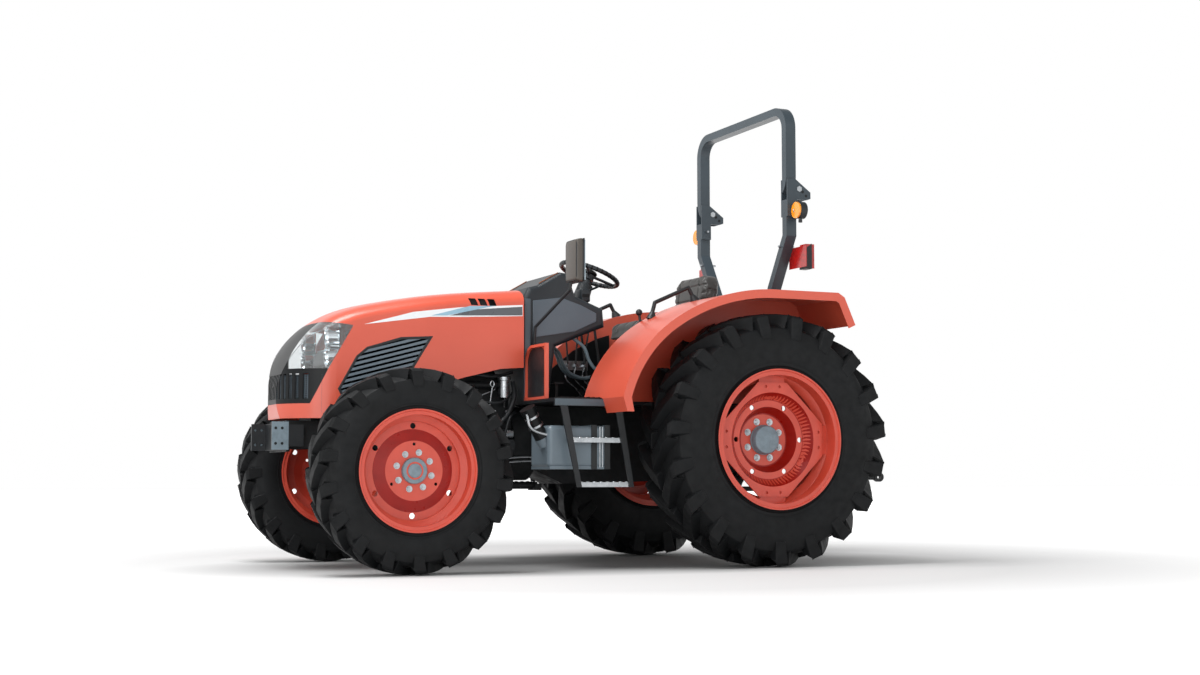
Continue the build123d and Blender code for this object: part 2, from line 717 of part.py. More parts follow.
with BuildSketch(Plane.XZ) as fender_side:
    with BuildLine():
        Polyline([station(p) for p in fender_tail])
        crest = TangentArc(station(fender_tail[-1]), station(fender_crest), tangent=(1, 0))
        TangentArc(station(fender_crest), station(fender_toe), tangent=crest % 1)
        Polyline(station(fender_toe), (ahead(-230), deck_top), (ahead(-380), 1200),
                 station(fender_tail[0]))
    make_face()

fender_skin = arch_band(fender_wall)
fender_edge = arch_band(fender_lip)

for side, name in ((1, "left"), (-1, "right")):
    with BuildPart() as fender:
        for view, inner, outer in (
            (fender_side.sketch, fender_inner_y, fender_inner_y + fender_wall),
            (fender_skin, fender_inner_y, fender_outer_y),
            (fender_edge, fender_outer_y - fender_wall, fender_outer_y),
        ):
            high = max(side * inner, side * outer)
            extrude(view.moved(Location((0, high, 0))), amount=outer - inner)
        outboard = (platform_half_width + 2, fender_outer_y)
        with BuildSketch(Plane.XZ.offset(-side * outboard[0])):
            with BuildLine():
                Polyline((ahead(fender_toe[0] - fender_wall), deck_top), station(fender_toe),
                         (ahead(fender_toe[0] - toe_rake), deck_top - toe_drop),
                         (ahead(fender_toe[0] - toe_rake - fender_wall), deck_top - toe_drop),
                         close=True)
            make_face()
        extrude(amount=-side * (outboard[1] - outboard[0]))
        with BuildSketch(Plane.XZ.offset(-side * outboard[1])):
            with BuildLine():
                Polyline((ahead(fender_toe[0] - fender_lip), deck_top), station(fender_toe),
                         (ahead(fender_toe[0] - toe_rake), deck_top - toe_drop),
                         (ahead(fender_toe[0] - toe_rake - fender_lip + 8), deck_top - toe_drop),
                         close=True)
            make_face()
        extrude(amount=side * fender_wall)
    save(fender, f"fender_{name}")

# Seat: slide and suspension box, cushion, and the back with its rounded top
seat_bottom = seat_deck_top + 180
seat_half = 240
with BuildPart() as seat_base:
    block((ahead(30), ahead(400)), (-170, 170), (seat_deck_top, seat_deck_top + 40))
    with BuildSketch(Plane.XY.offset(seat_deck_top + 40)):
        with Locations((ahead(210), 0)):
            RectangleRounded(330, 290, 30)
    extrude(amount=110, taper=6)
    block((ahead(50), ahead(450)), (-190, 190), (seat_bottom - 30, seat_bottom))
save(seat_base, "seat_base")
with BuildPart() as seat_cushion:
    block((ahead(80), ahead(530)), (-seat_half, seat_half), (seat_bottom, seat_bottom + 100))
    fillet(seat_cushion.edges().filter_by(Axis.Z), radius=60)
    fillet(seat_cushion.edges().group_by(Axis.Z)[-1], radius=25)
save(seat_cushion, "seat_cushion")
with BuildPart() as seat_back:
    with BuildSketch(Plane.XZ):
        with BuildLine():
            Polyline((ahead(-10), seat_bottom + 20), (ahead(78), seat_bottom + 20),
                     (ahead(78), seat_bottom + 120), (ahead(40), seat_bottom + 420),
                     (ahead(-60), seat_bottom + 420), close=True)
        make_face()
    extrude(amount=seat_half - 10, both=True)
    top_sides = [e for e in seat_back.edges() if abs(e.center().Z - seat_bottom - 420) < 1
                 and abs(e.center().Y) > seat_half - 20]
    fillet(top_sides, radius=90)
save(seat_back, "seat_back")

# Roll bar: posts from the axle to the fold brackets, and the hoop that folds rearwards
post_outer = rops_half_width
post_inner = rops_half_width - rops_tube_y
with BuildPart() as rops_posts:
    for side in (1, -1):
        with BuildSketch(Plane.YZ.offset(ahead(rops_x - rops_tube_x / 2))):
            with BuildLine():
                Polyline((side * 350, 640), (side * 400, 640), (side * 400, 1690),
                         (side * post_outer, 2000), (side * post_outer, rops_post_top),
                         (side * post_inner, rops_post_top), (side * post_inner, 2008),
                         (side * 350, 1698), close=True)
            make_face()
            bends = [v for v in vertices() if 1600 < v.Z < 2100]
            fillet(bends, radius=rops_bend)
        extrude(amount=rops_tube_x)
        block((ahead(rops_x + rops_tube_x / 2), ahead(-125)),
              (350, 400) if side > 0 else (-400, -350), (640, 835))
        for inner, outer in ((post_inner - 14, post_inner - 5), (post_outer + 5, post_outer + 14)):
            with BuildSketch(Plane.XZ.offset(-side * outer)):
                with BuildLine():
                    Polyline((ahead(-385), 2120), (ahead(-315), 2120), (ahead(-315), 2352),
                             (ahead(-375), 2352), (ahead(-480), 2275), (ahead(-480), 2235),
                             (ahead(-450), 2225), (ahead(-385), 2225), close=True)
                make_face()
            extrude(amount=side * (outer - inner))
        for inner, outer in ((post_inner - 5, post_inner), (post_outer, post_outer + 5)):
            block((ahead(-385), ahead(-315)),
                  (inner, outer) if side > 0 else (-outer, -inner), (2120, rops_post_top - 5))
        bar((ahead(rops_pivot_x), side * (post_inner - 14), rops_pivot_z),
            (ahead(rops_pivot_x), side * (post_outer + 14), rops_pivot_z), rops_pin_radius)
save(rops_posts, "rops_posts")

hoop_foot = rops_post_top + 7
with BuildPart() as rops_hoop:
    with BuildSketch(Plane.YZ.offset(ahead(rops_x - rops_tube_x / 2))):
        with Locations((0, (hoop_foot + rops_top) / 2)):
            Rectangle(2 * post_outer, rops_top - hoop_foot)
        outer_corners = [v for v in vertices().group_by(Axis.Z)[-1]]
        fillet(outer_corners, rops_corner)
        with Locations((0, (hoop_foot + rops_top - rops_tube_y) / 2)):
            Rectangle(2 * post_inner, rops_top - rops_tube_y - hoop_foot, mode=Mode.SUBTRACT)
    extrude(amount=rops_tube_x)
    inner_top = rops_hoop.edges().filter_by(Axis.X).filter_by(
        lambda e: abs(e.center().Z - rops_top + rops_tube_y) < 1)
    fillet(inner_top, rops_corner - rops_tube_y)
    for side in (1, -1):
        bar((ahead(rops_pivot_x), side * 553, rops_pivot_z),
            (ahead(rops_pivot_x), side * 577, rops_pivot_z), 24)
        block((ahead(rops_pivot_x), ahead(-380)), (553, 577) if side > 0 else (-577, -553),
              (rops_pivot_z - 24, rops_pivot_z + 24))
        bar((ahead(rops_pivot_x), side * 540, rops_pivot_z),
            (ahead(rops_pivot_x), side * 590, rops_pivot_z), rops_pin_radius + running_fit,
            mode=Mode.SUBTRACT)
save(rops_hoop, "rops_hoop")

# Lamps on the posts
with BuildPart() as warning_lamps:
    for side in (1, -1):
        bar((ahead(-395), side * 655, 2150), (ahead(-340), side * 655, 2150), 50)
        block((ahead(-375), ahead(-355)), (604, 640) if side > 0 else (-640, -604),
              (2135, 2165))
save(warning_lamps, "warning_lamps")
with BuildPart() as tail_lamps:
    for side in (1, -1):
        block((ahead(-391), ahead(-385)), (500, 700) if side > 0 else (-700, -500),
              (1800, 1930))
        block((ahead(-450), ahead(-391)), (620, 690) if side > 0 else (-690, -620),
              (1790, 1940))
save(tail_lamps, "tail_lamps")

# Handles on the fenders, mirror on its arm, levers and pedals
with BuildPart() as mirror:
    bar((ahead(1240), 300, 1290), (ahead(1240), 320, 1400), 9)
    bar((ahead(1240), 320, 1400), (ahead(1122), 560, 1600), 9)
    bar((ahead(1122), 560, 1600), (ahead(1110), 600, 1760), 9)
    with BuildSketch(Plane.YZ.offset(ahead(1085))):
        with Locations((605, 1765)):
            RectangleRounded(170, 250, 35)
    extrude(amount=50, taper=8)
save(mirror, "mirror")
with BuildPart() as fender_handles:
    for side in (1, -1):
        for start, end in (((610, 1420), (574, 1550)), ((574, 1550), (350, 1650)),
                           ((350, 1650), (300, 1560))):
            bar((ahead(start[0]), side * 560, start[1]), (ahead(end[0]), side * 560, end[1]), 12)
        for x, z in ((574, 1550), (350, 1650)):
            with Locations((ahead(x), side * 560, z)):
                Sphere(12)
    extrude(fender_side.sketch.moved(Location((0, 700, 0))), amount=1400, mode=Mode.SUBTRACT)
save(fender_handles, "fender_handles")
with BuildPart() as control_levers:
    for y, x in ((440, 560), (-440, 560), (-400, 480)):
        block((ahead(x - 40), ahead(x + 60)), (y - 15, y + 15), (deck_top, deck_top + 120))
        bar((ahead(x), y, deck_top + 100), (ahead(x + 60), y, 1500), 8)
        with Locations((ahead(x + 60), y, 1500)):
            Sphere(20)
save(control_levers, "control_levers")

# Rear linkage: rockshaft with its arms, lift rods and lower links
lift_pivot = (ahead(-180), 1040)
lift_arm = 300
lift_pin_x = ahead(-180) - lift_arm
link_pivot = (ahead(-150), 520)
link_bar_radius = 18
link_eye_radius = 30
link_eye_half = 22
link_hole_radius = 14
link_end_x = ahead(-rear_reach) + link_eye_radius
link_end_y = 420
with BuildPart() as lower_links:
    for side in (1, -1):
        start = Vector(link_pivot[0], side * 260, link_pivot[1])
        end = Vector(link_end_x, side * link_end_y, link_pivot[1])
        square = (end - start).normalized().rotate(Axis.Z, 90)
        bar((start.X, side * 235, start.Z), (start.X, side * 280, start.Z), 34)
        bar(start, end, link_bar_radius)
        bar(end - square * link_eye_half, end + square * link_eye_half, link_eye_radius)
        bar((start.X, side * 225, start.Z), (start.X, side * 295, start.Z), 12 + running_fit,
            mode=Mode.SUBTRACT)
        bar(end - square * (link_eye_half + 5), end + square * (link_eye_half + 5),
            link_hole_radius, mode=Mode.SUBTRACT)
save(lower_links, "lower_links")

with BuildPart() as link_anchors:
    for side in (1, -1):
        bar((link_pivot[0], side * 190, link_pivot[1]), (link_pivot[0], side * 285, link_pivot[1]),
            12)
save(link_anchors, "link_anchors")

with BuildPart() as lift_arms:
    bar((lift_pivot[0], -200, lift_pivot[1]), (lift_pivot[0], 200, lift_pivot[1]), 25)
    for side in (1, -1):
        block((lift_pin_x, lift_pivot[0]), (165, 190) if side > 0 else (-190, -165),
              (lift_pivot[1] - 22, lift_pivot[1] + 22))
save(lift_arms, "lift_arms")


with BuildPart() as lift_rods:
    for side in (1, -1):
        bar((lift_pin_x, side * 200, lift_pivot[1]), (lift_pin_x, side * 225, lift_pivot[1]), 22)
        bar((lift_pin_x, side * 212, lift_pivot[1]), (lift_pin_x, side * 212, 600), 12)
        bar((lift_pin_x, side * 200, 600), (lift_pin_x, side * 225, 600), 22)
        bar((lift_pin_x, side * 199, lift_pivot[1]), (lift_pin_x, side * 226, lift_pivot[1]),
            10 + running_fit, mode=Mode.SUBTRACT)
        bar((lift_pin_x, side * 199, 600), (lift_pin_x, side * 226, 600), 10, mode=Mode.SUBTRACT)
save(lift_rods, "lift_rods")

# Drawbar with its pin hole, power take-off shaft under its guard
with BuildPart() as drawbar:
    block((ahead(-760), ahead(-120)), (-35, 35), (430, 460))
    block((ahead(-220), ahead(-120)), (-70, 70), (460, 500))
    bar((ahead(-725), 0, 425), (ahead(-725), 0, 465), 14, mode=Mode.SUBTRACT)
save(drawbar, "drawbar")
with BuildPart() as pto_shaft:
    bar((ahead(-350), 0, 640), (ahead(-260), 0, 640), 17.5)
save(pto_shaft, "pto_shaft")
with BuildPart() as pto_guard:
    block((ahead(-380), ahead(-260)), (-90, 90), (720, 726))
    for y in (-90, 84):
        block((ahead(-380), ahead(-260)), (y, y + 6), (620, 720))
save(pto_guard, "pto_guard")
with BuildPart() as pedals:
    for y in (200, -200, -250):
        block((ahead(1020), ahead(1080)), (y - 30, y + 30), (deck_top + 110, deck_top + 118))
        block((ahead(1046), ahead(1058)), (y - 6, y + 6), (deck_top, deck_top + 112))
save(pedals, "pedals")

# Hood: crowned top that rolls down into the nose, hollow, open below and behind
hood_top = [(1315, 1637), (1731, 1599), (2170, 1527), (2487, 1416), (2641, 1256),
            (2722, 1004), (2691, 800)]
hood_nose_start = 2440
hood_nose_x = 2732


def drawn_in(points, inset):
    """A side-view line moved square to itself, towards its own underside."""
    moved = []
    for i, (x, z) in enumerate(points):
        before, after = points[max(i - 1, 0)], points[min(i + 1, len(points) - 1)]
        run = Vector(after[0] - before[0], after[1] - before[1]).normalized()
        moved.append((ahead(x) + inset * run.Y, z - inset * run.X))
    return moved


def hood_stations(half):
    """How far out each of the hood's stations stands, and how far its top lies under the middle."""
    flat = half - hood_shoulder
    stations = [(0, 0), (flat / 2, 0), (flat, 0)]
    for turn in (45, 80):
        out = hood_shoulder * sin(radians(turn)) / sin(radians(80))
        stations.append((flat + out, hood_shoulder * (1 - cos(radians(turn)))))
    stations = [(y, drop + hood_crown * (y / half) ** 2) for y, drop in stations]
    return [(-y, drop) for y, drop in stations[:0:-1]] + stations


def hood_form(inset):
    """The whole hood as a solid, drawn in from its outside by inset."""
    top = drawn_in(hood_top, inset)
    hood_foot = 650 - inset
    hood_back = ahead(1280) - inset
    with BuildSketch(Plane.XZ) as section:
        with BuildLine():
            Spline(top)
            Polyline(top[-1], (top[-1][0], hood_foot), (hood_back, hood_foot),
                     (hood_back, top[0][1]), top[0])
        make_face()
    half = hood_half_width - inset
    nose = ahead(hood_nose_x) - inset
    with BuildSketch(Plane.XY.offset(600)) as plan:
        with BuildLine():
            Line((ahead(1250), -half), (ahead(hood_nose_start), -half))
            ThreePointArc((ahead(hood_nose_start), -half),
                          (nose - 62, -0.62 * half), (nose, 0))
            ThreePointArc((nose, 0), (nose - 62, 0.62 * half),
                          (ahead(hood_nose_start), half))
            Polyline((ahead(hood_nose_start), half), (ahead(1250), half),
                     (ahead(1250), -half))
        make_face()
    stations = [section.sketch.moved(Location((0, y, -drop))) for y, drop in hood_stations(half)]
    with BuildPart() as form:
        loft(stations)
        extrude(plan.sketch, amount=1200, mode=Mode.INTERSECT)
    return form.part


outer_form = hood_form(0)
inner_form = hood_form(hood_wall)


def side_region(points):
    """A side-view outline carried right through the hood."""
    with BuildPart() as region:
        with BuildSketch(Plane.XZ):
            with BuildLine():
                Polyline([(ahead(x), z) for x, z in points], close=True)
            make_face()
        extrude(amount=400, both=True)
    return region.part


hood_outline = side_region([(1316, 1157), (1458, 1147), (1678, 1093), (2516, 846),
                            (2800, 846), (2800, 1700), (1316, 1700)])
lamp_region = side_region([(2344, 1370), (2484, 1123), (2800, 1123), (2800, 1400), (2600, 1400)])
grille_region = side_region([(2484, 1123), (2577, 928), (2800, 928), (2800, 1123)])
vent_outline = [(1874, 1324), (2066, 1312), (2265, 1250), (2326, 1198), (2431, 1010),
                (2405, 961), (2000, 1120)]
vent_region = side_region(vent_outline)
nose_band = (-nose_band_half, nose_band_half)
nose_reach = (ahead(2300), ahead(2800))
slot_low = 1512
slot_high = 1553
slot_rake = 16

with BuildPart() as hood_shell:
    add(outer_form)
    add(inner_form, mode=Mode.SUBTRACT)
    add(hood_outline, mode=Mode.INTERSECT)
    for region in (lamp_region, grille_region, vent_region):
        add(region, mode=Mode.SUBTRACT)
    for slot in range(3):
        x = 1486 + slot_pitch * slot
        add(side_region([(x, slot_low), (x + slot_width, slot_low),
                         (x + slot_width + slot_rake, slot_high), (x + slot_rake, slot_high)]),
            mode=Mode.SUBTRACT)
    for side in (1, -1):
        block((ahead(1318), ahead(1344)), (150, 170) if side > 0 else (-170, -150),
              (hinge_z - 13, hood_top[0][1] - 15))
        bar((ahead(hinge_x), side * 149, hinge_z), (ahead(hinge_x), side * 171, hinge_z),
            6 + running_fit, mode=Mode.SUBTRACT)
save(hood_shell, "hood_shell")

# Clear lenses each side of the nose's dark band, and the reflectors on their plates behind
with BuildPart() as headlights:
    add(outer_form)
    add(inner_form, mode=Mode.SUBTRACT)
    add(lamp_region, mode=Mode.INTERSECT)
    block(nose_reach, nose_band, (1100, 1420), mode=Mode.SUBTRACT)
save(headlights, "headlights")
with BuildPart() as nose_panel:
    add(outer_form)
    add(inner_form, mode=Mode.SUBTRACT)
    add(lamp_region, mode=Mode.INTERSECT)
    block(nose_reach, nose_band, (1100, 1420), mode=Mode.INTERSECT)
save(nose_panel, "nose_panel")

reflector_x = 2425
reflector_y = 258
reflector_radius = 52
reflector_depth = 55
reflector_mouth = ahead(reflector_x + reflector_depth)
with BuildPart() as lamp_reflectors:
    for side in (1, -1):
        block((ahead(reflector_x - 5), ahead(reflector_x)),
              (195, 340) if side > 0 else (-340, -195), (1135, 1380))
        for z in (1195, 1305):
            bar((ahead(reflector_x), side * reflector_y, z), (reflector_mouth, side * reflector_y, z),
                reflector_radius + 4)
    for side in (1, -1):
        for z in (1195, 1305):
            with BuildSketch(Plane.XZ.offset(-side * reflector_y)):
                with BuildLine():
                    bowl = ThreePointArc(
                        (ahead(reflector_x + 4), z),
                        (ahead(reflector_x + 0.32 * reflector_depth), z + 0.66 * reflector_radius),
                        (reflector_mouth, z + reflector_radius))
                    Polyline(bowl @ 1, (reflector_mouth, z), bowl @ 0)
                make_face()
            revolve(axis=Axis((0, side * reflector_y, z), (1, 0, 0)), mode=Mode.SUBTRACT)
    add(inner_form, mode=Mode.INTERSECT)
save(lamp_reflectors, "lamp_reflectors")

# Grille of upright bars, and the side vents' louvres in their frames
grille_low = 955
grille_high = 1095
grille_pitch = 34
grille_gap = 20
with BuildPart() as front_grille:
    add(outer_form)
    add(inner_form, mode=Mode.SUBTRACT)
    add(grille_region, mode=Mode.INTERSECT)
    for gap in range(-8, 9):
        y = gap * grille_pitch
        block((ahead(2560 if abs(gap) < 8 else 2540), ahead(2800)),
              (y - grille_gap / 2, y + grille_gap / 2), (grille_low, grille_high),
              mode=Mode.SUBTRACT)
save(front_grille, "front_grille")

with BuildSketch(Plane.XZ) as vent_gaps:
    with BuildLine():
        Polyline([(ahead(x), z) for x, z in vent_outline], close=True)
    make_face()
    offset(amount=-vent_frame, kind=Kind.INTERSECTION)
    with Locations(Location((ahead(2150), 1160, 0), (0, 0, 1), -15)):
        with GridLocations(1, louvre_pitch, 1, 13):
            Rectangle(900, louvre_pitch - louvre_gap, mode=Mode.SUBTRACT)
with BuildPart() as side_vents:
    add(outer_form)
    add(inner_form, mode=Mode.SUBTRACT)
    add(vent_region, mode=Mode.INTERSECT)
    extrude(vent_gaps.sketch, amount=400, both=True, mode=Mode.SUBTRACT)
save(side_vents, "side_vents")

# Hinge brackets of the hood, on the cowl's front
with BuildPart() as hood_hinges:
    for side in (1, -1):
        for y in (138, 176):
            with BuildSketch(Plane.XZ.offset(-max(side * y, side * (y + 6)))):
                with BuildLine():
                    Polyline((ahead(cowl_front), hinge_z - 60), (ahead(hinge_x + 9), hinge_z - 60),
                             (ahead(hinge_x + 9), hinge_z + 7), (ahead(hinge_x - 9), hinge_z + 7),
                             (ahead(cowl_front), hinge_z - 25), close=True)
                make_face()
            extrude(amount=6)
        bar((ahead(hinge_x), side * 138, hinge_z), (ahead(hinge_x), side * 182, hinge_z), 6)
save(hood_hinges, "hood_hinges")
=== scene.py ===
import math

import bmesh
import bpy
from mathutils import Matrix, Vector


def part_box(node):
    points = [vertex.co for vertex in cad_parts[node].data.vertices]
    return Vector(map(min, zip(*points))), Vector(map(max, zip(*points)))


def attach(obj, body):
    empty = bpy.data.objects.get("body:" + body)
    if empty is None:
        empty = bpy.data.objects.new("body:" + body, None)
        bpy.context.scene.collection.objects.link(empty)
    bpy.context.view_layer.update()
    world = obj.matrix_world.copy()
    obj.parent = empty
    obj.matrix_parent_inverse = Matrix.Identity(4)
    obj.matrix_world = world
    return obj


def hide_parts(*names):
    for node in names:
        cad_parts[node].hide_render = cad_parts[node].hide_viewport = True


# Farm tractor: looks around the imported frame. Metres, +X forward, +Y to the driver's left, +Z up.

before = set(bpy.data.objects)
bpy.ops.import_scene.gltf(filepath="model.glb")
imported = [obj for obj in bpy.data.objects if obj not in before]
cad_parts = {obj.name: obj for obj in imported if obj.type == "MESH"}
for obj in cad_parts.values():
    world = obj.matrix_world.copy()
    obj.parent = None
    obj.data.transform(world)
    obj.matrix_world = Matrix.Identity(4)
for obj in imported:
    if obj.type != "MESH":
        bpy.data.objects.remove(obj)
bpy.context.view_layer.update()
scene = bpy.context.scene
print("frame loaded:", len(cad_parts), "nodes")


# Nodes and materials

def linear(hexColour, alpha=1.0):
    channels = [int(hexColour[i:i + 2], 16) / 255 for i in (1, 3, 5)]
    toLinear = [c / 12.92 if c <= 0.04045 else ((c + 0.055) / 1.055) ** 2.4 for c in channels]
    return (*toLinear, alpha)


def addNode(tree, kind, settings=None, values=None, links=None):
    # settings are the node's own choices, values fill sockets, links name where sockets come from
    made = tree.nodes.new(kind)
    for name, choice in (settings or {}).items():
        setattr(made, name, choice)
    for name, value in (values or {}).items():
        made.inputs[name].default_value = value
    for name, (source, output) in (links or {}).items():
        tree.links.new(source.outputs[output], made.inputs[name])
    return made


def startMaterial(name, colour, roughness, metallic=0.0, **more):
    material = bpy.data.materials.new(name)
    material.use_nodes = True
    tree = material.node_tree
    shader = tree.nodes["Principled BSDF"]
    shader.inputs["Base Color"].default_value = linear(colour)
    shader.inputs["Roughness"].default_value = roughness
    shader.inputs["Metallic"].default_value = metallic
    for socket, value in more.items():
        shader.inputs[socket.replace("_", " ")].default_value = value
    place = addNode(tree, "ShaderNodeTexCoord")
    return material, tree, shader, place


def setRamp(ramp, start, startColour, end, endColour):
    first, last = ramp.color_ramp.elements
    first.position, last.position = start, end
    first.color, last.color = linear(startColour), linear(endColour)


def addBump(tree, shader, source, strength, depth):
    # source is a node and its output; depth is in metres
    bump = addNode(tree, "ShaderNodeBump", values={"Strength": strength, "Distance": depth},
                   links={"Height": source})
    tree.links.new(bump.outputs["Normal"], shader.inputs["Normal"])


def mottle(tree, shader, place, size, light, dark):
    # size is the width of a patch in metres; light and dark are the colours between which it drifts
    drift = addNode(tree, "ShaderNodeTexNoise", values={"Scale": 1 / size, "Detail": 5.0, "Roughness": 0.6},
                    links={"Vector": (place, "Object")})
    ramp = addNode(tree, "ShaderNodeValToRGB", links={"Fac": (drift, "Fac")})
    setRamp(ramp, 0.25, dark, 0.75, light)
    tree.links.new(ramp.outputs["Color"], shader.inputs["Base Color"])


def vary(tree, shader, place, size, low, high):
    # roughness drifts between low and high over patches of that size
    drift = addNode(tree, "ShaderNodeTexNoise", values={"Scale": 1 / size, "Detail": 4.0},
                    links={"Vector": (place, "Object")})
    reach = addNode(tree, "ShaderNodeMapRange", values={"From Min": 0.3, "From Max": 0.7,
                                                        "To Min": low, "To Max": high},
                    links={"Value": (drift, "Fac")})
    tree.links.new(reach.outputs["Result"], shader.inputs["Roughness"])


def grain(tree, shader, place, size, depth, strength):
    # a fine pebbled bump, size across one grain and depth in metres
    pebbles = addNode(tree, "ShaderNodeTexNoise", values={"Scale": 1 / size, "Detail": 3.0},
                      links={"Vector": (place, "Object")})
    addBump(tree, shader, (pebbles, "Fac"), strength, depth)


def makeEnamel():
    # baked orange-red enamel on pressed steel: deep colour under a clear gloss with faint orange peel
    material, tree, shader, place = startMaterial("bakedEnamelOrangeRed", "#C9533D", 0.44,
                                                  Coat_Weight=0.3, Coat_Roughness=0.2)
    mottle(tree, shader, place, 0.7, "#CE5741", "#C24D37")
    vary(tree, shader, place, 0.25, 0.32, 0.42)
    grain(tree, shader, place, 0.006, 0.0002, 0.25)
    return material


def makeWheelEnamel():
    # the same red sprayed on pressed wheel steel, flatter and a little dusty
    material, tree, shader, place = startMaterial("sprayedWheelEnamel", "#C4432F", 0.48,
                                                  Coat_Weight=0.35, Coat_Roughness=0.2)
    mottle(tree, shader, place, 0.12, "#CA4B38", "#B93A26")
    vary(tree, shader, place, 0.06, 0.4, 0.55)
    grain(tree, shader, place, 0.004, 0.0002, 0.3)
    return material


def makeSatinBlack():
    # satin black powder coat on steel tube and plate: soft grey gloss along every edge
    material, tree, shader, place = startMaterial("powderCoatBlack", "#1A1D20", 0.42, Specular_IOR_Level=0.4)
    mottle(tree, shader, place, 0.3, "#202326", "#141618")
    vary(tree, shader, place, 0.08, 0.36, 0.52)
    grain(tree, shader, place, 0.0025, 0.0002, 0.35)
    return material


def makeCasting():
    # dark painted sand casting: coarse skin with oily darker patches
    material, tree, shader, place = startMaterial("paintedSandCasting", "#141617", 0.6,
                                                  Specular_IOR_Level=0.3)
    mottle(tree, shader, place, 0.09, "#1C1F21", "#0B0C0D")
    vary(tree, shader, place, 0.05, 0.45, 0.75)
    grain(tree, shader, place, 0.005, 0.0008, 0.6)
    return material


def makeRubber():
    # vulcanised tread rubber: near black, dull, with a faint grey bloom
    material, tree, shader, place = startMaterial("vulcanisedRubber", "#0E1011", 0.64,
                                                  Specular_IOR_Level=0.22)
    mottle(tree, shader, place, 0.16, "#111315", "#0A0B0C")
    vary(tree, shader, place, 0.05, 0.5, 0.72)
    grain(tree, shader, place, 0.003, 0.0004, 0.4)
    return material


def makeMoulding(name, light, dark, roughness, level=0.4):
    # textured polypropylene moulding: even colour with a fine leathery grain that breaks the shine
    material, tree, shader, place = startMaterial(name, light, roughness, Specular_IOR_Level=level)
    mottle(tree, shader, place, 0.4, light, dark)
    grain(tree, shader, place, 0.0022, 0.0003, 0.45)
    return material


def makeVinyl():
    # calendered seat vinyl: black with a creased leather grain and a waxy sheen
    material, tree, shader, place = startMaterial("seatVinyl", "#2B2A29", 0.5, Sheen_Weight=0.15)
    mottle(tree, shader, place, 0.15, "#34322F", "#232221")
    creases = addNode(tree, "ShaderNodeTexVoronoi", settings={"feature": "DISTANCE_TO_EDGE"},
                      values={"Scale": 1 / 0.004}, links={"Vector": (place, "Object")})
    addBump(tree, shader, (creases, "Distance"), 0.5, 0.0004)
    return material


def makeSteel():
    # ground and zinc plated steel: bright with fine streaks along its length
    material, tree, shader, place = startMaterial("zincPlatedSteel", "#B9BDC0", 0.3, 1.0)
    mottle(tree, shader, place, 0.05, "#C4C8CB", "#9DA2A6")
    vary(tree, shader, place, 0.02, 0.22, 0.42)
    return material


def makeLens():
    # clear polycarbonate lens: colourless, glossy, thin enough to show what is behind it
    material, tree, shader, place = startMaterial("clearPolycarbonate", "#F2F5F6", 0.04,
                                                  Transmission_Weight=0.92, IOR=1.2)
    vary(tree, shader, place, 0.1, 0.03, 0.06)
    return material


def makeTintedLens(name, light, dark):
    # coloured acrylic lens with a prismatic inner face that glitters in small cells
    material, tree, shader, place = startMaterial(name, light, 0.15, Coat_Weight=0.8,
                                                  Coat_Roughness=0.05)
    mottle(tree, shader, place, 0.02, light, dark)
    prisms = addNode(tree, "ShaderNodeTexVoronoi", values={"Scale": 1 / 0.008},
                     links={"Vector": (place, "Object")})
    addBump(tree, shader, (prisms, "Distance"), 0.6, 0.001)
    return material


def makeMesh():
    # perforated blue-grey panel behind the grille and vents: small dark cells in rows, drawn as a bump
    material, tree, shader, place = startMaterial("perforatedPanel", "#46515A", 0.4)
    cells = addNode(tree, "ShaderNodeTexVoronoi", values={"Scale": 1 / 0.012, "Randomness": 0.0},
                    links={"Vector": (place, "Object")})
    ramp = addNode(tree, "ShaderNodeValToRGB", links={"Fac": (cells, "Distance")})
    setRamp(ramp, 0.3, "#14181A", 0.5, "#5A6771")
    tree.links.new(ramp.outputs["Color"], shader.inputs["Base Color"])
    addBump(tree, shader, (cells, "Distance"), 0.7, 0.002)
    return material


def makeDecal(name, light, dark):
    # printed vinyl film laid on the enamel: flat colour, smooth, a little glossier than paint
    material, tree, shader, place = startMaterial(name, light, 0.28, Coat_Weight=0.4, Coat_Roughness=0.1)
    mottle(tree, shader, place, 0.3, light, dark)
    vary(tree, shader, place, 0.1, 0.24, 0.34)
    return material


def makeChrome():
    # vacuum plated reflector and trim: near mirror, broken a little by its flutes
    material, tree, shader, place = startMaterial("platedChrome", "#D8DCDF", 0.12, 1.0)
    vary(tree, shader, place, 0.03, 0.06, 0.2)
    return material


def makeShadedRed():
    # the wheels' enamel in the pressed cones, drawn darker and deeper red as painted shade of the recess, a
    # little glossier than the rest
    material, tree, shader, place = startMaterial("pooledWheelEnamel", "#8E1208", 0.34,
                                                  Specular_IOR_Level=0.3)
    mottle(tree, shader, place, 0.08, "#96150A", "#820F06")
    vary(tree, shader, place, 0.05, 0.26, 0.38)
    return material


def makeMirrorGlass():
    # silvered glass, slightly blue
    material, tree, shader, place = startMaterial("silveredGlass", "#B4C4CE", 0.05, 1.0)
    vary(tree, shader, place, 0.1, 0.03, 0.07)
    return material


def makeHubPaint():
    # blue-grey enamel on the hub castings, dull and evenly sprayed
    material, tree, shader, place = startMaterial("greyHubPaint", "#6F7F88", 0.42)
    mottle(tree, shader, place, 0.03, "#7A8A93", "#62717A")
    vary(tree, shader, place, 0.02, 0.36, 0.5)
    return material


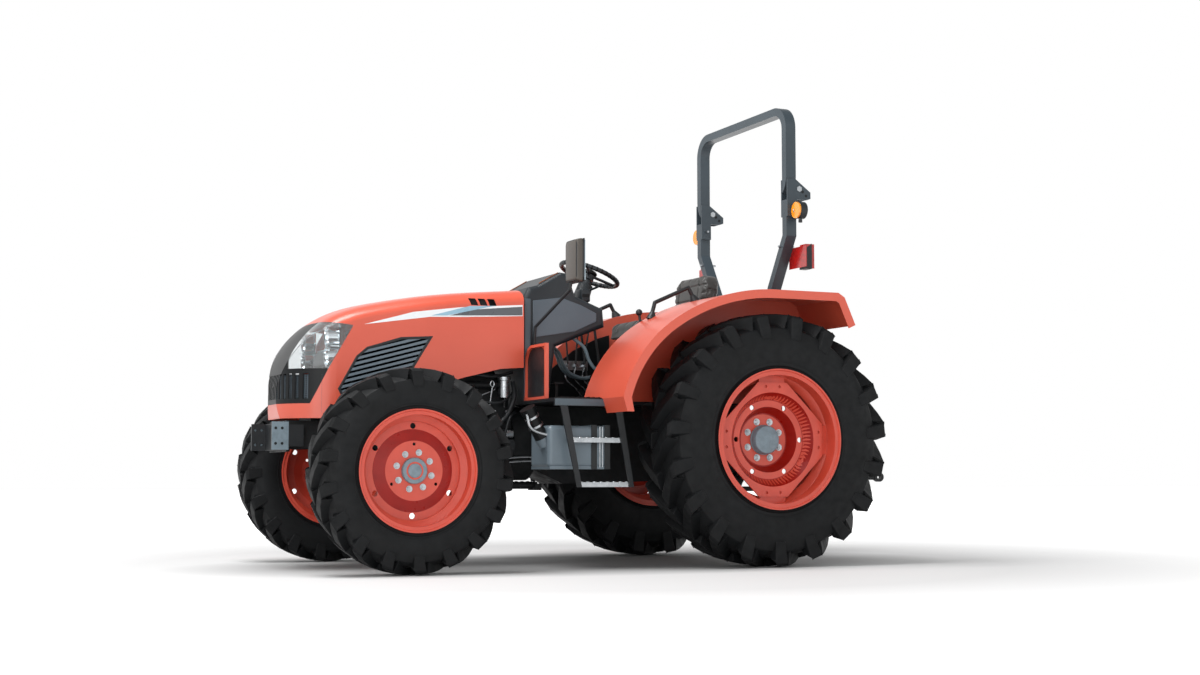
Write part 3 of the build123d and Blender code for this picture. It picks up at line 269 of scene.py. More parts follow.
enamel = makeEnamel()
wheelEnamel = makeWheelEnamel()
satinBlack = makeSatinBlack()
casting = makeCasting()
rubber = makeRubber()
cowlPlastic = makeMoulding("mouldedCowlPlastic", "#252B30", "#1C2125", 0.4)
# the fuel tanks' dark plastic is drawn pale grey-blue: a painted reflection of the studio's side light
tankReflectionGrey = makeMoulding("rotomouldedTankPlastic", "#6E7B84", "#5C6870", 0.3)
vinyl = makeVinyl()
steel = makeSteel()
lens = makeLens()
amberLens = makeTintedLens("amberAcrylic", "#F0A018", "#D87C08")
redLens = makeTintedLens("redAcrylic", "#B01812", "#7E0C0A")
meshPanel = makeMesh()
chrome = makeChrome()
hubPaint = makeHubPaint()
cowlPanelPlastic = makeMoulding("glossyCowlPanel", "#566069", "#48525A", 0.28)
pillarPlastic = makeMoulding("greyPillarPlastic", "#4C575F", "#414B52", 0.4)
whiteFilm = makeDecal("whiteDecalFilm", "#E4E8EA", "#D8DDE0")
blueFilm = makeDecal("lightBlueDecalFilm", "#8FB4C6", "#7FA6BA")
greyFilm = makeDecal("darkGreyDecalFilm", "#50565B", "#464C51")
# an orange-brown line along the instrument hood's edge, drawn as film: a painted highlight
edgeHighlightPaint = makeDecal("copperEdgeTrim", "#8A4A22", "#74401F")
mirrorBack = makeMoulding("taupeMirrorHousing", "#4E4943", "#3A3632", 0.35)
coneShadeRed = makeShadedRed()
mirrorGlass = makeMirrorGlass()
nosePlastic = makeMoulding("glossyNosePlastic", "#141618", "#0D0F10", 0.36, 0.2)
rollBarPaint = makeMoulding("blueGreyRollBarPaint", "#3A444B", "#313A40", 0.35)

finishes = {
    enamel: ["hood_shell", "fender_left", "fender_right", "front_shields"],
    wheelEnamel: ["front_wheel_left", "front_wheel_right", "rear_wheel_left", "rear_wheel_right"],
    casting: ["engine", "transmission_housing", "rear_axle", "front_axle", "knuckle_left",
              "knuckle_right", "radiator", "front_frame", "steering_cylinder", "drive_shaft",
              "link_anchors", "drawbar"],
    rubber: ["rear_tyre_left", "rear_tyre_right", "front_tyre_left", "front_tyre_right"],
    cowlPlastic: ["cowl", "steering_wheel", "steering_column", "air_cleaner", "battery", "pto_guard"],
    rollBarPaint: ["rops_hoop", "rops_posts"],
    tankReflectionGrey: ["fuel_tanks"],
    vinyl: ["seat_cushion", "seat_back"],
    steel: ["steering_rod", "pto_shaft"],
    lens: ["headlights"],
    nosePlastic: ["nose_panel", "front_grille", "side_vents"],
    chrome: ["lamp_reflectors"],
    amberLens: ["warning_lamps"],
    redLens: ["tail_lamps"],
}
finishOf = {node: finish for finish, nodes in finishes.items() for node in nodes}
for name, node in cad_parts.items():
    node.data.materials.clear()
    node.data.materials.append(finishOf.get(name, satinBlack))
print("materials done")


# Helpers for pieces

hands = {1: "Left", -1: "Right"}        # sides of the machine by the sign of y


def mirrored(side, near, far):
    # low and high y of a stretch that lies between two distances from the middle plane
    return (near, far) if side > 0 else (-far, -near)


def finishPiece(bm, name, material, body, replaced=(), smoothAngle=35):
    bmesh.ops.recalc_face_normals(bm, faces=bm.faces)
    mesh = bpy.data.meshes.new(name)
    bm.to_mesh(mesh)
    bm.free()
    piece = bpy.data.objects.new(name, mesh)
    scene.collection.objects.link(piece)
    mesh.materials.append(material)
    mesh.shade_smooth()
    mesh.set_sharp_from_angle(angle=math.radians(smoothAngle))
    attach(piece, body)
    if replaced:
        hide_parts(*replaced)
    return piece


def middleOf(node):
    low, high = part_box(node)
    return (low + high) / 2


# Tyres: a spun carcass with two staggered rows of lugs

rearTyre = {
    "lugs": 19,             # in each row
    "sweep": 16.0,          # degrees from the shoulder end to the centre end
    "across": 0.074,        # width of a lug's top
    "flare": 0.034,         # how much wider its foot is
    "height": 0.045,
    "shoulderDrop": 0.048,  # how much lower the carcass stands at its shoulder
    "reach": 0.150,         # how far a lug runs down the sidewall
    "seat": 0.381,          # radius of the rim's bead seat
    "flange": 0.4075,       # radius of the rim's edge
}
frontTyre = {"lugs": 18, "sweep": 15.0, "across": 0.064, "flare": 0.026, "height": 0.036,
             "shoulderDrop": 0.034, "reach": 0.104, "seat": 0.305, "flange": 0.3275}
shoulderShare = 0.88        # where the tread ends, as a share of the half width


def carcassRadius(tyre, radius, half, y):
    # the tread's surface between its lugs, rounding off towards the shoulder
    return radius - tyre["height"] - tyre["shoulderDrop"] * min(abs(y) / (shoulderShare * half), 1.1) ** 2.5


def tyreSection(tyre, radius, half):
    # the carcass from bead to bead, as pairs of width and radius, with the two rings by the rim
    shoulder = carcassRadius(tyre, radius, half, shoulderShare * half)
    middle = (tyre["flange"] + shoulder) / 2
    rim = tyre["flange"] + 0.004
    oneSide = [(0.87 * half, tyre["seat"] + 0.001), (0.87 * half, rim), (0.9 * half, rim + 0.012),
               (0.925 * half, rim + 0.014), (0.93 * half, rim + 0.022), (0.925 * half, rim + 0.03)]
    turns = 8
    for i in range(1, turns):
        angle = math.pi * (0.2 + 0.6 * i / turns)
        oneSide.append((half * (0.8 + 0.2 * math.sin(angle)),
                        middle - math.cos(angle) * (shoulder - middle) * 0.98))
    for share in (shoulderShare, 0.7, 0.45, 0.22):
        oneSide.append((half * share, carcassRadius(tyre, radius, half, half * share)))
    crown = carcassRadius(tyre, radius, half, 0)
    return [(-y, r) for y, r in oneSide] + [(0, crown)] + [(y, r) for y, r in reversed(oneSide)]


def tyreLug(bm, tyre, radius, half, side, row, turnAngle):
    # a strip along the lug, laid on the tread and run down the shoulder, then given its flared foot;
    # its stations' place and sweep, and their width as shares of the lug's top, go from centre to sidewall
    top = [(-0.05 * half, radius), (0.3 * half, radius - 0.001), (0.62 * half, radius - 0.004),
           (shoulderShare * half, radius - 0.010), (0.965 * half, radius - 0.024),
           (0.985 * half, radius - 0.55 * tyre["reach"]), (0.985 * half, radius - tyre["reach"])]
    swept = [1.0, 0.68, 0.36, 0.1, 0.03, 0.0, -0.02]
    wide = [1.2, 1.15, 1.05, 1.0, 1.0, 0.95, 0.8]
    onTread = 4             # stations before this one stand on the tread, the others on the sidewall
    made = bmesh.ops.create_grid(bm, x_segments=len(top) - 1, y_segments=1, size=1)
    strip = made["verts"]
    rank = {}               # station, edge and, for a foot's point, True
    for v in strip:
        i = round((v.co.x + 1) / 2 * (len(top) - 1))
        rank[v] = (i, 1 if v.co.y > 0 else -1)
    faces = list({f for v in strip for f in v.link_faces})
    foot = bmesh.ops.extrude_face_region(bm, geom=faces, use_keep_orig=True)
    footVerts = [g for g in foot["geom"] if isinstance(g, bmesh.types.BMVert)]
    tops = {v.co.copy().freeze(): v for v in strip}
    for v in footVerts:
        rank[v] = (*rank[tops[v.co.copy().freeze()]], True)
    for v, (i, edge, *isFoot) in rank.items():
        y, r = top[i]
        width = tyre["across"] * wide[i]
        if isFoot:
            width += tyre["flare"]
            if i < onTread:
                r = carcassRadius(tyre, radius, half, y) - 0.008
            else:
                y, r = y - 0.05, r - 0.03
        angle = math.radians(turnAngle + tyre["sweep"] * swept[i]) + edge * width / 2 / r
        v.co = Vector((r * math.sin(angle), side * row * y, r * math.cos(angle)))


def makeTyre(end, tyre, hand):
    node = end + "_tyre_" + hand.lower()
    low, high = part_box(node)
    centre = (low + high) / 2
    radius = (high.z - low.z) / 2
    half = (high.y - low.y) / 2
    side = 1 if centre.y > 0 else -1
    bm = bmesh.new()
    section = [bm.verts.new((0, y, r)) for y, r in tyreSection(tyre, radius, half)]
    edges = [bm.edges.new(pair) for pair in zip(section, section[1:])]
    bmesh.ops.spin(bm, geom=section + edges, cent=(0, 0, 0), axis=(0, 1, 0), dvec=(0, 0, 0),
                   angle=2 * math.pi, steps=96, use_merge=True)
    pitch = 360 / tyre["lugs"]
    lowest = 180 - tyre["sweep"] - math.degrees(0.6 * tyre["across"] / radius)
    for row, offset in ((1, 0), (-1, pitch / 2)):
        for i in range(tyre["lugs"]):
            tyreLug(bm, tyre, radius, half, side, row, lowest + offset + pitch * i)
    bmesh.ops.translate(bm, verts=bm.verts, vec=centre)
    body = "wheel_" + end + "_" + hand.lower()
    piece = finishPiece(bm, end + "Tyre" + hand, rubber, body, [node], 30)
    rounding = piece.modifiers.new("lugEdges", "BEVEL")
    rounding.width = 0.007
    rounding.segments = 2
    rounding.limit_method = "ANGLE"
    rounding.angle_limit = math.radians(35)


for hand in hands.values():
    makeTyre("rear", rearTyre, hand)
    makeTyre("front", frontTyre, hand)
print("tyres done")


# Shapes that many pieces share

def turnedTo(direction):
    return direction.to_track_quat("Z", "Y").to_matrix().to_4x4()


def addRod(bm, start, end, radius, farRadius=None, segments=20):
    start, end = Vector(start), Vector(end)
    bmesh.ops.create_cone(bm, cap_ends=True, segments=segments, radius1=radius,
                          radius2=radius if farRadius is None else farRadius, depth=(end - start).length,
                          matrix=Matrix.Translation((start + end) / 2) @ turnedTo(end - start))


def addBox(bm, low, high):
    low, high = Vector(low), Vector(high)
    place = Matrix.Translation((low + high) / 2) @ Matrix.Diagonal((*(high - low), 1))
    return bmesh.ops.create_cube(bm, size=1, matrix=place)["verts"]


def softBox(bm, low, high, rounding, segments=3):
    # a box with rounded edges
    corners = addBox(bm, low, high)
    edges = list({e for v in corners for e in v.link_edges})
    bmesh.ops.bevel(bm, geom=edges, offset=rounding, offset_type="OFFSET", segments=segments, profile=0.5,
                    affect="EDGES", material=-1)


def addBall(bm, centre, radius, squash=(1, 1, 1)):
    place = Matrix.Translation(centre) @ Matrix.Diagonal((*squash, 1))
    bmesh.ops.create_uvsphere(bm, u_segments=20, v_segments=12, radius=radius, matrix=place)


def smoothPath(points):
    # a rounded route through chosen points
    steps = 6
    points = [Vector(p) for p in points]
    ends = [2 * points[0] - points[1]] + points + [2 * points[-1] - points[-2]]
    path = []
    for a, b, c, d in zip(ends, ends[1:], ends[2:], ends[3:]):
        for i in range(steps):
            t = i / steps
            path.append(0.5 * (2 * b + (c - a) * t + (2 * a - 5 * b + 4 * c - d) * t ** 2
                               + (3 * b - a - 3 * c + d) * t ** 3))
    return path + [points[-1]]


def addTube(bm, points, radius, segments=12):
    # rings along a rounded route, bridged and closed
    path = smoothPath(points)
    last = len(path) - 1
    rings = []
    for i, centre in enumerate(path):
        run = path[min(i + 1, last)] - path[max(i - 1, 0)]
        made = bmesh.ops.create_circle(bm, cap_ends=i in (0, last), segments=segments, radius=radius,
                                       matrix=Matrix.Translation(centre) @ turnedTo(run))
        ring = made["verts"]
        rings.append([e for v in ring for e in v.link_edges if e.other_vert(v) in ring])
    for one, two in zip(rings, rings[1:]):
        bmesh.ops.bridge_loops(bm, edges=list(set(one + two)))


def addTurned(bm, outline, centre, axis, steps=48):
    # an outline of (distance along the axis, radius) spun right round
    points = [bm.verts.new((u, 0, r)) for u, r in outline]
    edges = [bm.edges.new(pair) for pair in zip(points, points[1:])]
    bmesh.ops.spin(bm, geom=points + edges, cent=(0, 0, 0), axis=(1, 0, 0), dvec=(0, 0, 0),
                   angle=2 * math.pi, steps=steps, use_merge=True)
    made = [v for v in bm.verts if v.tag is False and v.is_valid]
    place = Matrix.Translation(centre) @ Vector(axis).to_track_quat("X", "Z").to_matrix().to_4x4()
    bmesh.ops.transform(bm, matrix=place, verts=made)
    bmesh.ops.remove_doubles(bm, verts=made, dist=0.00001)
    for v in bm.verts:
        v.tag = True


def cutFlat(bm, points, y, thickness):
    # a thin upright sheet at y, cut to a convex outline of (x, z) by one plane a side
    xs, zs = [p[0] for p in points], [p[1] for p in points]
    sheet = addBox(bm, (min(xs), y, min(zs)), (max(xs), y + thickness, max(zs)))
    middle = Vector((sum(xs) / len(xs), y, sum(zs) / len(zs)))
    for (x1, z1), (x2, z2) in zip(points, points[1:] + points[:1]):
        across = Vector((z2 - z1, 0, x1 - x2)).normalized()
        if across.dot(middle - Vector((x1, y, z1))) > 0:
            across = -across
        geom = list({g for v in sheet if v.is_valid for g in (v, *v.link_edges, *v.link_faces)})
        cut = bmesh.ops.bisect_plane(bm, geom=geom, dist=0.000001, plane_co=(x1, y, z1), plane_no=across,
                                     clear_outer=True)
        rim = [g for g in cut["geom_cut"] if isinstance(g, bmesh.types.BMEdge)]
        bmesh.ops.holes_fill(bm, edges=rim)
        sheet = [v for v in sheet if v.is_valid] + [g for g in cut["geom_cut"]
                                                    if isinstance(g, bmesh.types.BMVert)]


# Wheels: nuts with their studs, hub caps, and painted shade as deeper red in the pressed cones

rearAxleX = middleOf("rear_tyre_left").x


def ahead(distance):
    return rearAxleX + distance


def placed(outline):
    # an outline of (distance ahead of the rear axle, z) in the frame's own x
    return [(ahead(x), z) for x, z in outline]


def route(points, side=1):
    # points of (distance ahead of the rear axle, y, z) in the frame, or their mirror image
    return [(ahead(x), side * y, z) for x, y, z in points]


def addNut(bm, centre, side, size):
    # a washer, a hexagon and the stud's end, standing outboard
    for radius, low, high, segments in ((1.35 * size, 0, 0.2 * size, 20), (size, 0.2 * size, size, 6),
                                        (0.5 * size, size, 1.5 * size, 12)):
        addRod(bm, centre + Vector((0, side * low, 0)), centre + Vector((0, side * high, 0)), radius,
               segments=segments)


def wheelDetails(end, hub, name):
    for side, hand in hands.items():
        centre = middleOf(end + "_tyre_" + hand.lower())
        body = "wheel_" + end + "_" + hand.lower()
        bm = bmesh.new()
        for i in range(hub["nuts"]):
            turn = 2 * math.pi * (i + hub["turn"]) / hub["nuts"]
            spot = Vector((math.cos(turn), 0, math.sin(turn))) * hub["nutRing"]
            addNut(bm, centre + spot + Vector((0, side * hub["face"], 0)), side, hub["nutSize"])
        finishPiece(bm, name + "Nuts" + hand, steel, body)
        bm = bmesh.new()
        addTurned(bm, hub["cap"], centre, (0, side, 0))
        finishPiece(bm, name + "Cap" + hand, hubPaint, body)
        bm = bmesh.new()
        # a deeper red shell over each pressed cone: painted shade
        for outline in hub["cones"]:
            addTurned(bm, outline, centre, (0, side, 0), 72)
        finishPiece(bm, name + "Cones" + hand, coneShadeRed, body)


rearHub = {
    "nuts": 8, "nutRing": 0.113, "nutSize": 0.015, "turn": 0.5, "face": 0.0,
    "cap": [(0.001, 0.088), (0.008, 0.088), (0.012, 0.084), (0.040, 0.084), (0.050, 0.078), (0.056, 0.060),
            (0.060, 0.036), (0.061, 0)],
    "cones": [[(0.1165, 0.2735), (0.0605, 0.2345), (0.0602, 0.230)],
              [(0.0598, 0.1915), (0.0008, 0.1575), (0.0006, 0.150)]],
}
frontHub = {
    "nuts": 8, "nutRing": 0.100, "nutSize": 0.013, "turn": 0.333, "face": 0.053,
    "cap": [(0.053, 0.070), (0.066, 0.070), (0.071, 0.067), (0.071, 0.048), (0.066, 0.044), (0.066, 0.040),
            (0.074, 0.037), (0.077, 0.028), (0.078, 0)],
    "cones": [[(0.0534, 0.160), (0.0534, 0.1636), (0.0296, 0.2182), (0.0296, 0.222)]],
}
wheelDetails("rear", rearHub, "rearHub")
wheelDetails("front", frontHub, "frontHub")
print("wheels done")


# Hood: films on its flat sides, white below, then grey, then blue

films = {
    "side": 0.330,          # the hood's flat side, from the middle plane
    "gap": 0.0004,          # thickness of a film
    "stripeRear": [(1.324, 1.460), (1.711, 1.440), (1.893, 1.434), (1.893, 1.472), (1.712, 1.496),
                   (1.324, 1.526)],
    "stripeFront": [(1.893, 1.434), (2.283, 1.377), (1.995, 1.458), (1.893, 1.472)],
    "blueStreak": [(1.502, 1.513), (1.790, 1.446), (1.887, 1.442), (1.650, 1.507)],
    "greyField": [(1.326, 1.464), (1.778, 1.446), (1.626, 1.487), (1.327, 1.515)],
}


def hoodFilm(parts, layer, material, name):
    for side, hand in hands.items():
        bm = bmesh.new()
        for part in parts:
            y = side * (films["side"] + layer * films["gap"])
            cutFlat(bm, placed(films[part]), min(y, y + side * films["gap"]), films["gap"])
        finishPiece(bm, name + hand, material, "hood")


hoodFilm(["stripeRear", "stripeFront"], 0, whiteFilm, "whiteStripe")
hoodFilm(["greyField"], 1, greyFilm, "greyField")
hoodFilm(["blueStreak"], 2, blueFilm, "blueStreak")
print("decals done")


# Side vents: one fine mesh panel a side, in its dark frame; dark sheets inside the hood's slots, painted
# shade; grille mesh

vent = {
    "outline": [(1.874, 1.324), (2.066, 1.312), (2.265, 1.250), (2.326, 1.198), (2.431, 1.010),
                (2.405, 0.961), (2.000, 1.120)],
    "rim": 0.014,                   # width of the frame
    "crestAt": 0.005,               # how far in from its edge the frame's crest runs
    "mesh": (0.3292, 0.3300),       # distances from the middle plane
    "frameEdge": 0.3302,
    "frameCrest": 0.3318,
    "frameWall": 0.0015,
}
slotBacking = {"outline": [(1.474, 1.500), (1.668, 1.500), (1.690, 1.566), (1.496, 1.566)],
               "inside": 0.262, "outside": 0.266}
grille = {
    "columns": 32, "rows": 4, "wall": 0.002,
    "half": 0.315, "middle": 0.985, "halfHeight": 0.105,
    "noseFrom": 2.44, "noseLength": 0.285, "noseHalf": 0.335,   # the nose's oval, seen from above
    "setBack": 0.02,
}


def drawIn(points, inset):
    # a convex outline with every side moved inwards
    moved = []
    middle = Vector((sum(p[0] for p in points) / len(points), sum(p[1] for p in points) / len(points)))
    for before, here, after in zip(points[-1:] + points, points, points[1:] + points[:1]):
        before, here, after = Vector(before), Vector(here), Vector(after)
        toBefore, toAfter = (before - here).normalized(), (after - here).normalized()
        half = toBefore.angle(toAfter) / 2
        inwards = (toBefore + toAfter).normalized()
        if inwards.dot(middle - here) < 0:
            inwards = -inwards
        moved.append(tuple(here + inwards * inset / math.sin(half)))
    return moved


def sideSheet(outline, side, inside, outside, material, name, body="hood"):
    # a flat upright plate between two distances from the middle plane
    bm = bmesh.new()
    cutFlat(bm, placed(outline), mirrored(side, inside, outside)[0], outside - inside)
    return finishPiece(bm, name, material, body)


for side, hand in hands.items():
    inner = drawIn(vent["outline"], vent["rim"])
    crest = drawIn(vent["outline"], vent["crestAt"])
    sideSheet(inner, side, *vent["mesh"], meshPanel, "ventMesh" + hand)
    bm = bmesh.new()
    rings = []
    for depth, outline in ((vent["frameEdge"], vent["outline"]), (vent["frameCrest"], crest),
                           (vent["frameEdge"], inner)):
        ring = [bm.verts.new((x, side * depth, z)) for x, z in placed(outline)]
        rings.append([bm.edges.new(pair) for pair in zip(ring, ring[1:] + ring[:1])])
    for one, two in zip(rings, rings[1:]):
        bmesh.ops.bridge_loops(bm, edges=one + two)
    bmesh.ops.solidify(bm, geom=bm.faces[:], thickness=vent["frameWall"])
    finishPiece(bm, "ventFrame" + hand, satinBlack, "hood")

# black sheets just inside the hood's slots stand in for the shade within the hood: painted shade
for side, hand in hands.items():
    sideSheet(slotBacking["outline"], side, slotBacking["inside"], slotBacking["outside"], satinBlack,
              "slotBacking" + hand)

bm = bmesh.new()
grid = bmesh.ops.create_grid(bm, x_segments=grille["columns"], y_segments=grille["rows"], size=1)["verts"]
for v in grid:
    y = grille["half"] * v.co.x
    z = grille["middle"] + grille["halfHeight"] * v.co.y
    bulge = grille["noseLength"] * math.sqrt(1 - (y / grille["noseHalf"]) ** 2)
    v.co = Vector((ahead(grille["noseFrom"] + bulge) - grille["setBack"], y, z))
bmesh.ops.solidify(bm, geom=bm.faces[:], thickness=grille["wall"])
finishPiece(bm, "grilleMesh", meshPanel, "hood")
print("vents done")


# Headlamps: bulbs and bright shelves behind the lenses

headlamp = {
    "bulbs": [(2.445, 0.258, 1.195), (2.445, 0.258, 1.305)],
    "bulbRadius": 0.014,
    "bulbSquash": (1.3, 1, 1),
    "shelves": [(1.140, 1.148), (1.246, 1.254)],    # bottom and top of each
    "shelfAhead": (2.400, 2.470),
    "shelfAcross": (0.300, -0.100, 0.018),          # its middle, and its reach to the right and the left
}
for side, hand in hands.items():
    bm = bmesh.new()
    for bulb in route(headlamp["bulbs"], side):
        addBall(bm, bulb, headlamp["bulbRadius"], headlamp["bulbSquash"])
    finishPiece(bm, "bulbs" + hand, steel, "hood")
    bm = bmesh.new()
    rear, front = headlamp["shelfAhead"]
    at, toRight, toLeft = headlamp["shelfAcross"]
    for low, high in headlamp["shelves"]:
        addBox(bm, (ahead(rear), side * at + toRight, low), (ahead(front), side * at + toLeft, high))
    finishPiece(bm, "lampLiner" + hand, chrome, "hood")


# Warning and tail lamps: their black housings

rearLamps = {
    "across": 0.655,
    "warning": [(-0.398, 2.150), (-0.352, 2.150), 0.0525],      # ends of the housing, and its radius
    "stalk": [(-0.375, 2.095), (-0.375, 2.075), 0.012],
    "tail": [(-0.432, 1.787), (-0.388, 1.943), 0.037],          # corners, and half its width
    "tailSlope": 0.03,                                          # how much lower its top is in front
}
for side, hand in hands.items():
    y = side * rearLamps["across"]
    bm = bmesh.new()
    for part, segments in (("warning", 32), ("stalk", 20)):
        (startX, startZ), (endX, endZ), radius = rearLamps[part]
        addRod(bm, (ahead(startX), y, startZ), (ahead(endX), y, endZ), radius, segments=segments)
    finishPiece(bm, "warningHousing" + hand, satinBlack, "chassis")
    bm = bmesh.new()
    (rear, bottom), (front, top), half = rearLamps["tail"]
    for v in addBox(bm, (ahead(rear), y - half, bottom), (ahead(front), y + half, top)):
        if v.co.x > ahead((rear + front) / 2) and v.co.z > (bottom + top) / 2:
            v.co.z -= rearLamps["tailSlope"]
    finishPiece(bm, "tailHousing" + hand, satinBlack, "chassis")
print("lamps done")


# Platform: dark sheets on the front shields for painted shade, step treads, tank straps

# dark sheets laid on both faces of each red front shield: painted shade
shieldPanel = {
    "ahead": (1.2688, 1.2764),      # a panel on each face of the shield
    "wall": 0.001,
    "middle": 0.440, "half": 0.142,
    "bottom": 0.967, "top": 1.267,
    "corner": 0.094,                # radius of the upper outer corner
}
step = {
    "treads": [(1.185, 0.855, 0.739), (1.135, 0.810, 0.487)],   # front, rear and height of each
    "inside": 0.690, "outside": 0.738,
    "wall": 0.003, "lipDrop": 0.024, "lipFrom": 0.736,
    "studs": 8, "studLine": 0.712, "studHeight": 0.007, "studFoot": 0.014, "studTop": 0.010,
}
tankStrap = {
    "ahead": (0.941, 1.023), "half": 0.018,
    "face": (0.683, 0.6845), "bottom": 0.564, "faceTop": 0.815,
    "inside": 0.397, "over": (0.8152, 0.8164),
    "rodsAhead": (0.972, 0.988), "rodHalf": 0.003, "rodFace": (0.6802, 0.686), "rodHeight": (0.575, 0.806),
}
for side, hand in hands.items():
    bm = bmesh.new()
    middle, half = side * shieldPanel["middle"], shieldPanel["half"]
    for x in shieldPanel["ahead"]:
        addBox(bm, (ahead(x), middle - half, shieldPanel["bottom"]),
               (ahead(x) + shieldPanel["wall"], middle + half, shieldPanel["top"]))
    corners = [e for e in bm.edges if abs(e.verts[0].co.x - e.verts[1].co.x) > shieldPanel["wall"] / 2
               and side * (e.verts[0].co.y - middle) > 0 and e.verts[0].co.z > shieldPanel["top"] - half]
    bmesh.ops.bevel(bm, geom=corners, offset=shieldPanel["corner"], offset_type="OFFSET", segments=8,
                    profile=0.5, affect="EDGES", material=-1)
    finishPiece(bm, "shieldPanel" + hand, satinBlack, "chassis")

    bm = bmesh.new()
    for front, rear, z in step["treads"]:
        top = z + step["wall"]
        low, high = mirrored(side, step["inside"], step["outside"])
        addBox(bm, (ahead(rear), low, z), (ahead(front), high, top))
        low, high = mirrored(side, step["lipFrom"], step["lipFrom"] + step["wall"])
        addBox(bm, (ahead(rear), low, z - step["lipDrop"]), (ahead(front), high, top))
        y = side * step["studLine"]
        for i in range(step["studs"]):
            x = ahead(rear) + (i + 0.5) * (front - rear) / step["studs"]
            addRod(bm, (x, y, z), (x, y, z + step["studHeight"]), step["studFoot"], step["studTop"], 12)
    finishPiece(bm, "stepTreads" + hand, steel, "chassis")

    bm = bmesh.new()
    half = tankStrap["half"]
    for x in tankStrap["ahead"]:
        low, high = mirrored(side, *tankStrap["face"])
        addBox(bm, (ahead(x - half), low, tankStrap["bottom"]), (ahead(x + half), high, tankStrap["faceTop"]))
        low, high = mirrored(side, tankStrap["inside"], tankStrap["face"][1])
        bottom, top = tankStrap["over"]
        addBox(bm, (ahead(x - half), low, bottom), (ahead(x + half), high, top))
    finishPiece(bm, "strapFaces" + hand, satinBlack, "chassis")

    bm = bmesh.new()
    low, high = mirrored(side, *tankStrap["rodFace"])
    half = tankStrap["rodHalf"]
    bottom, top = tankStrap["rodHeight"]
    for x in tankStrap["rodsAhead"]:
        addBox(bm, (ahead(x - half), low, bottom), (ahead(x + half), high, top))
    finishPiece(bm, "strapRods" + hand, steel, "chassis")


# Platform: beam's pale face, pedal arms with pads, and the ribbed mat

beamFace = {"rear": 0.842, "front": 1.294, "inside": 0.7502, "outside": 0.7530, "bottom": 0.9225,
            "top": 0.9600, "edge": 0.0012}
pedal = {
    "across": (-0.200, -0.250, 0.200),
    "arm": [(0.960, 1.360), (0.875, 1.300), (0.840, 1.220), (0.790, 1.165), (0.705, 1.138), (0.650, 1.148)],
    "armRadius": 0.0105,
    "padRear": 0.585, "padFront": 0.660, "padBottom": 1.140, "padTop": 1.156,
    "padHalf": 0.022, "padEdge": 0.004,
}
mat = {
    "rear": 0.41, "step": 0.870, "front": 1.265,        # it widens at the step, ahead of the rear tyres
    "bottom": 0.9655, "top": 0.9705, "ribTop": 0.9735,
    "narrowHalf": 0.465, "wideHalf": 0.735, "ribInset": 0.005,
    "ribs": 26, "narrowRibs": 14, "firstRib": 0.43, "ribPitch": 0.032, "ribWidth": 0.012,
}
for side, hand in hands.items():
    bm = bmesh.new()
    low, high = mirrored(side, beamFace["inside"], beamFace["outside"])
    softBox(bm, (ahead(beamFace["rear"]), low, beamFace["bottom"]),
            (ahead(beamFace["front"]), high, beamFace["top"]), beamFace["edge"], 2)
    finishPiece(bm, "beamFace" + hand, pillarPlastic, "chassis")

bm = bmesh.new()
for y in pedal["across"]:
    addTube(bm, [(ahead(x), y, z) for x, z in pedal["arm"]], pedal["armRadius"], 12)
finishPiece(bm, "pedalArms", hubPaint, "chassis")
bm = bmesh.new()
for y in pedal["across"]:
    softBox(bm, (ahead(pedal["padRear"]), y - pedal["padHalf"], pedal["padBottom"]),
            (ahead(pedal["padFront"]), y + pedal["padHalf"], pedal["padTop"]), pedal["padEdge"])
finishPiece(bm, "pedalPads", rubber, "chassis")

bm = bmesh.new()
for rear, front, half in ((mat["rear"], mat["step"], mat["narrowHalf"]),
                          (mat["step"], mat["front"], mat["wideHalf"])):
    addBox(bm, (ahead(rear), -half, mat["bottom"]), (ahead(front), half, mat["top"]))
for i in range(mat["ribs"]):
    x = ahead(mat["firstRib"] + mat["ribPitch"] * i)
    half = (mat["narrowHalf"] if i < mat["narrowRibs"] else mat["wideHalf"]) - mat["ribInset"]
    addBox(bm, (x, -half, mat["top"]), (x + mat["ribWidth"], half, mat["ribTop"]))
finishPiece(bm, "floorMat", rubber, "chassis")
print("platform done")


# Cowl: pillars by the hood, raised side panels, and a painted highlight along the instrument hood's edge

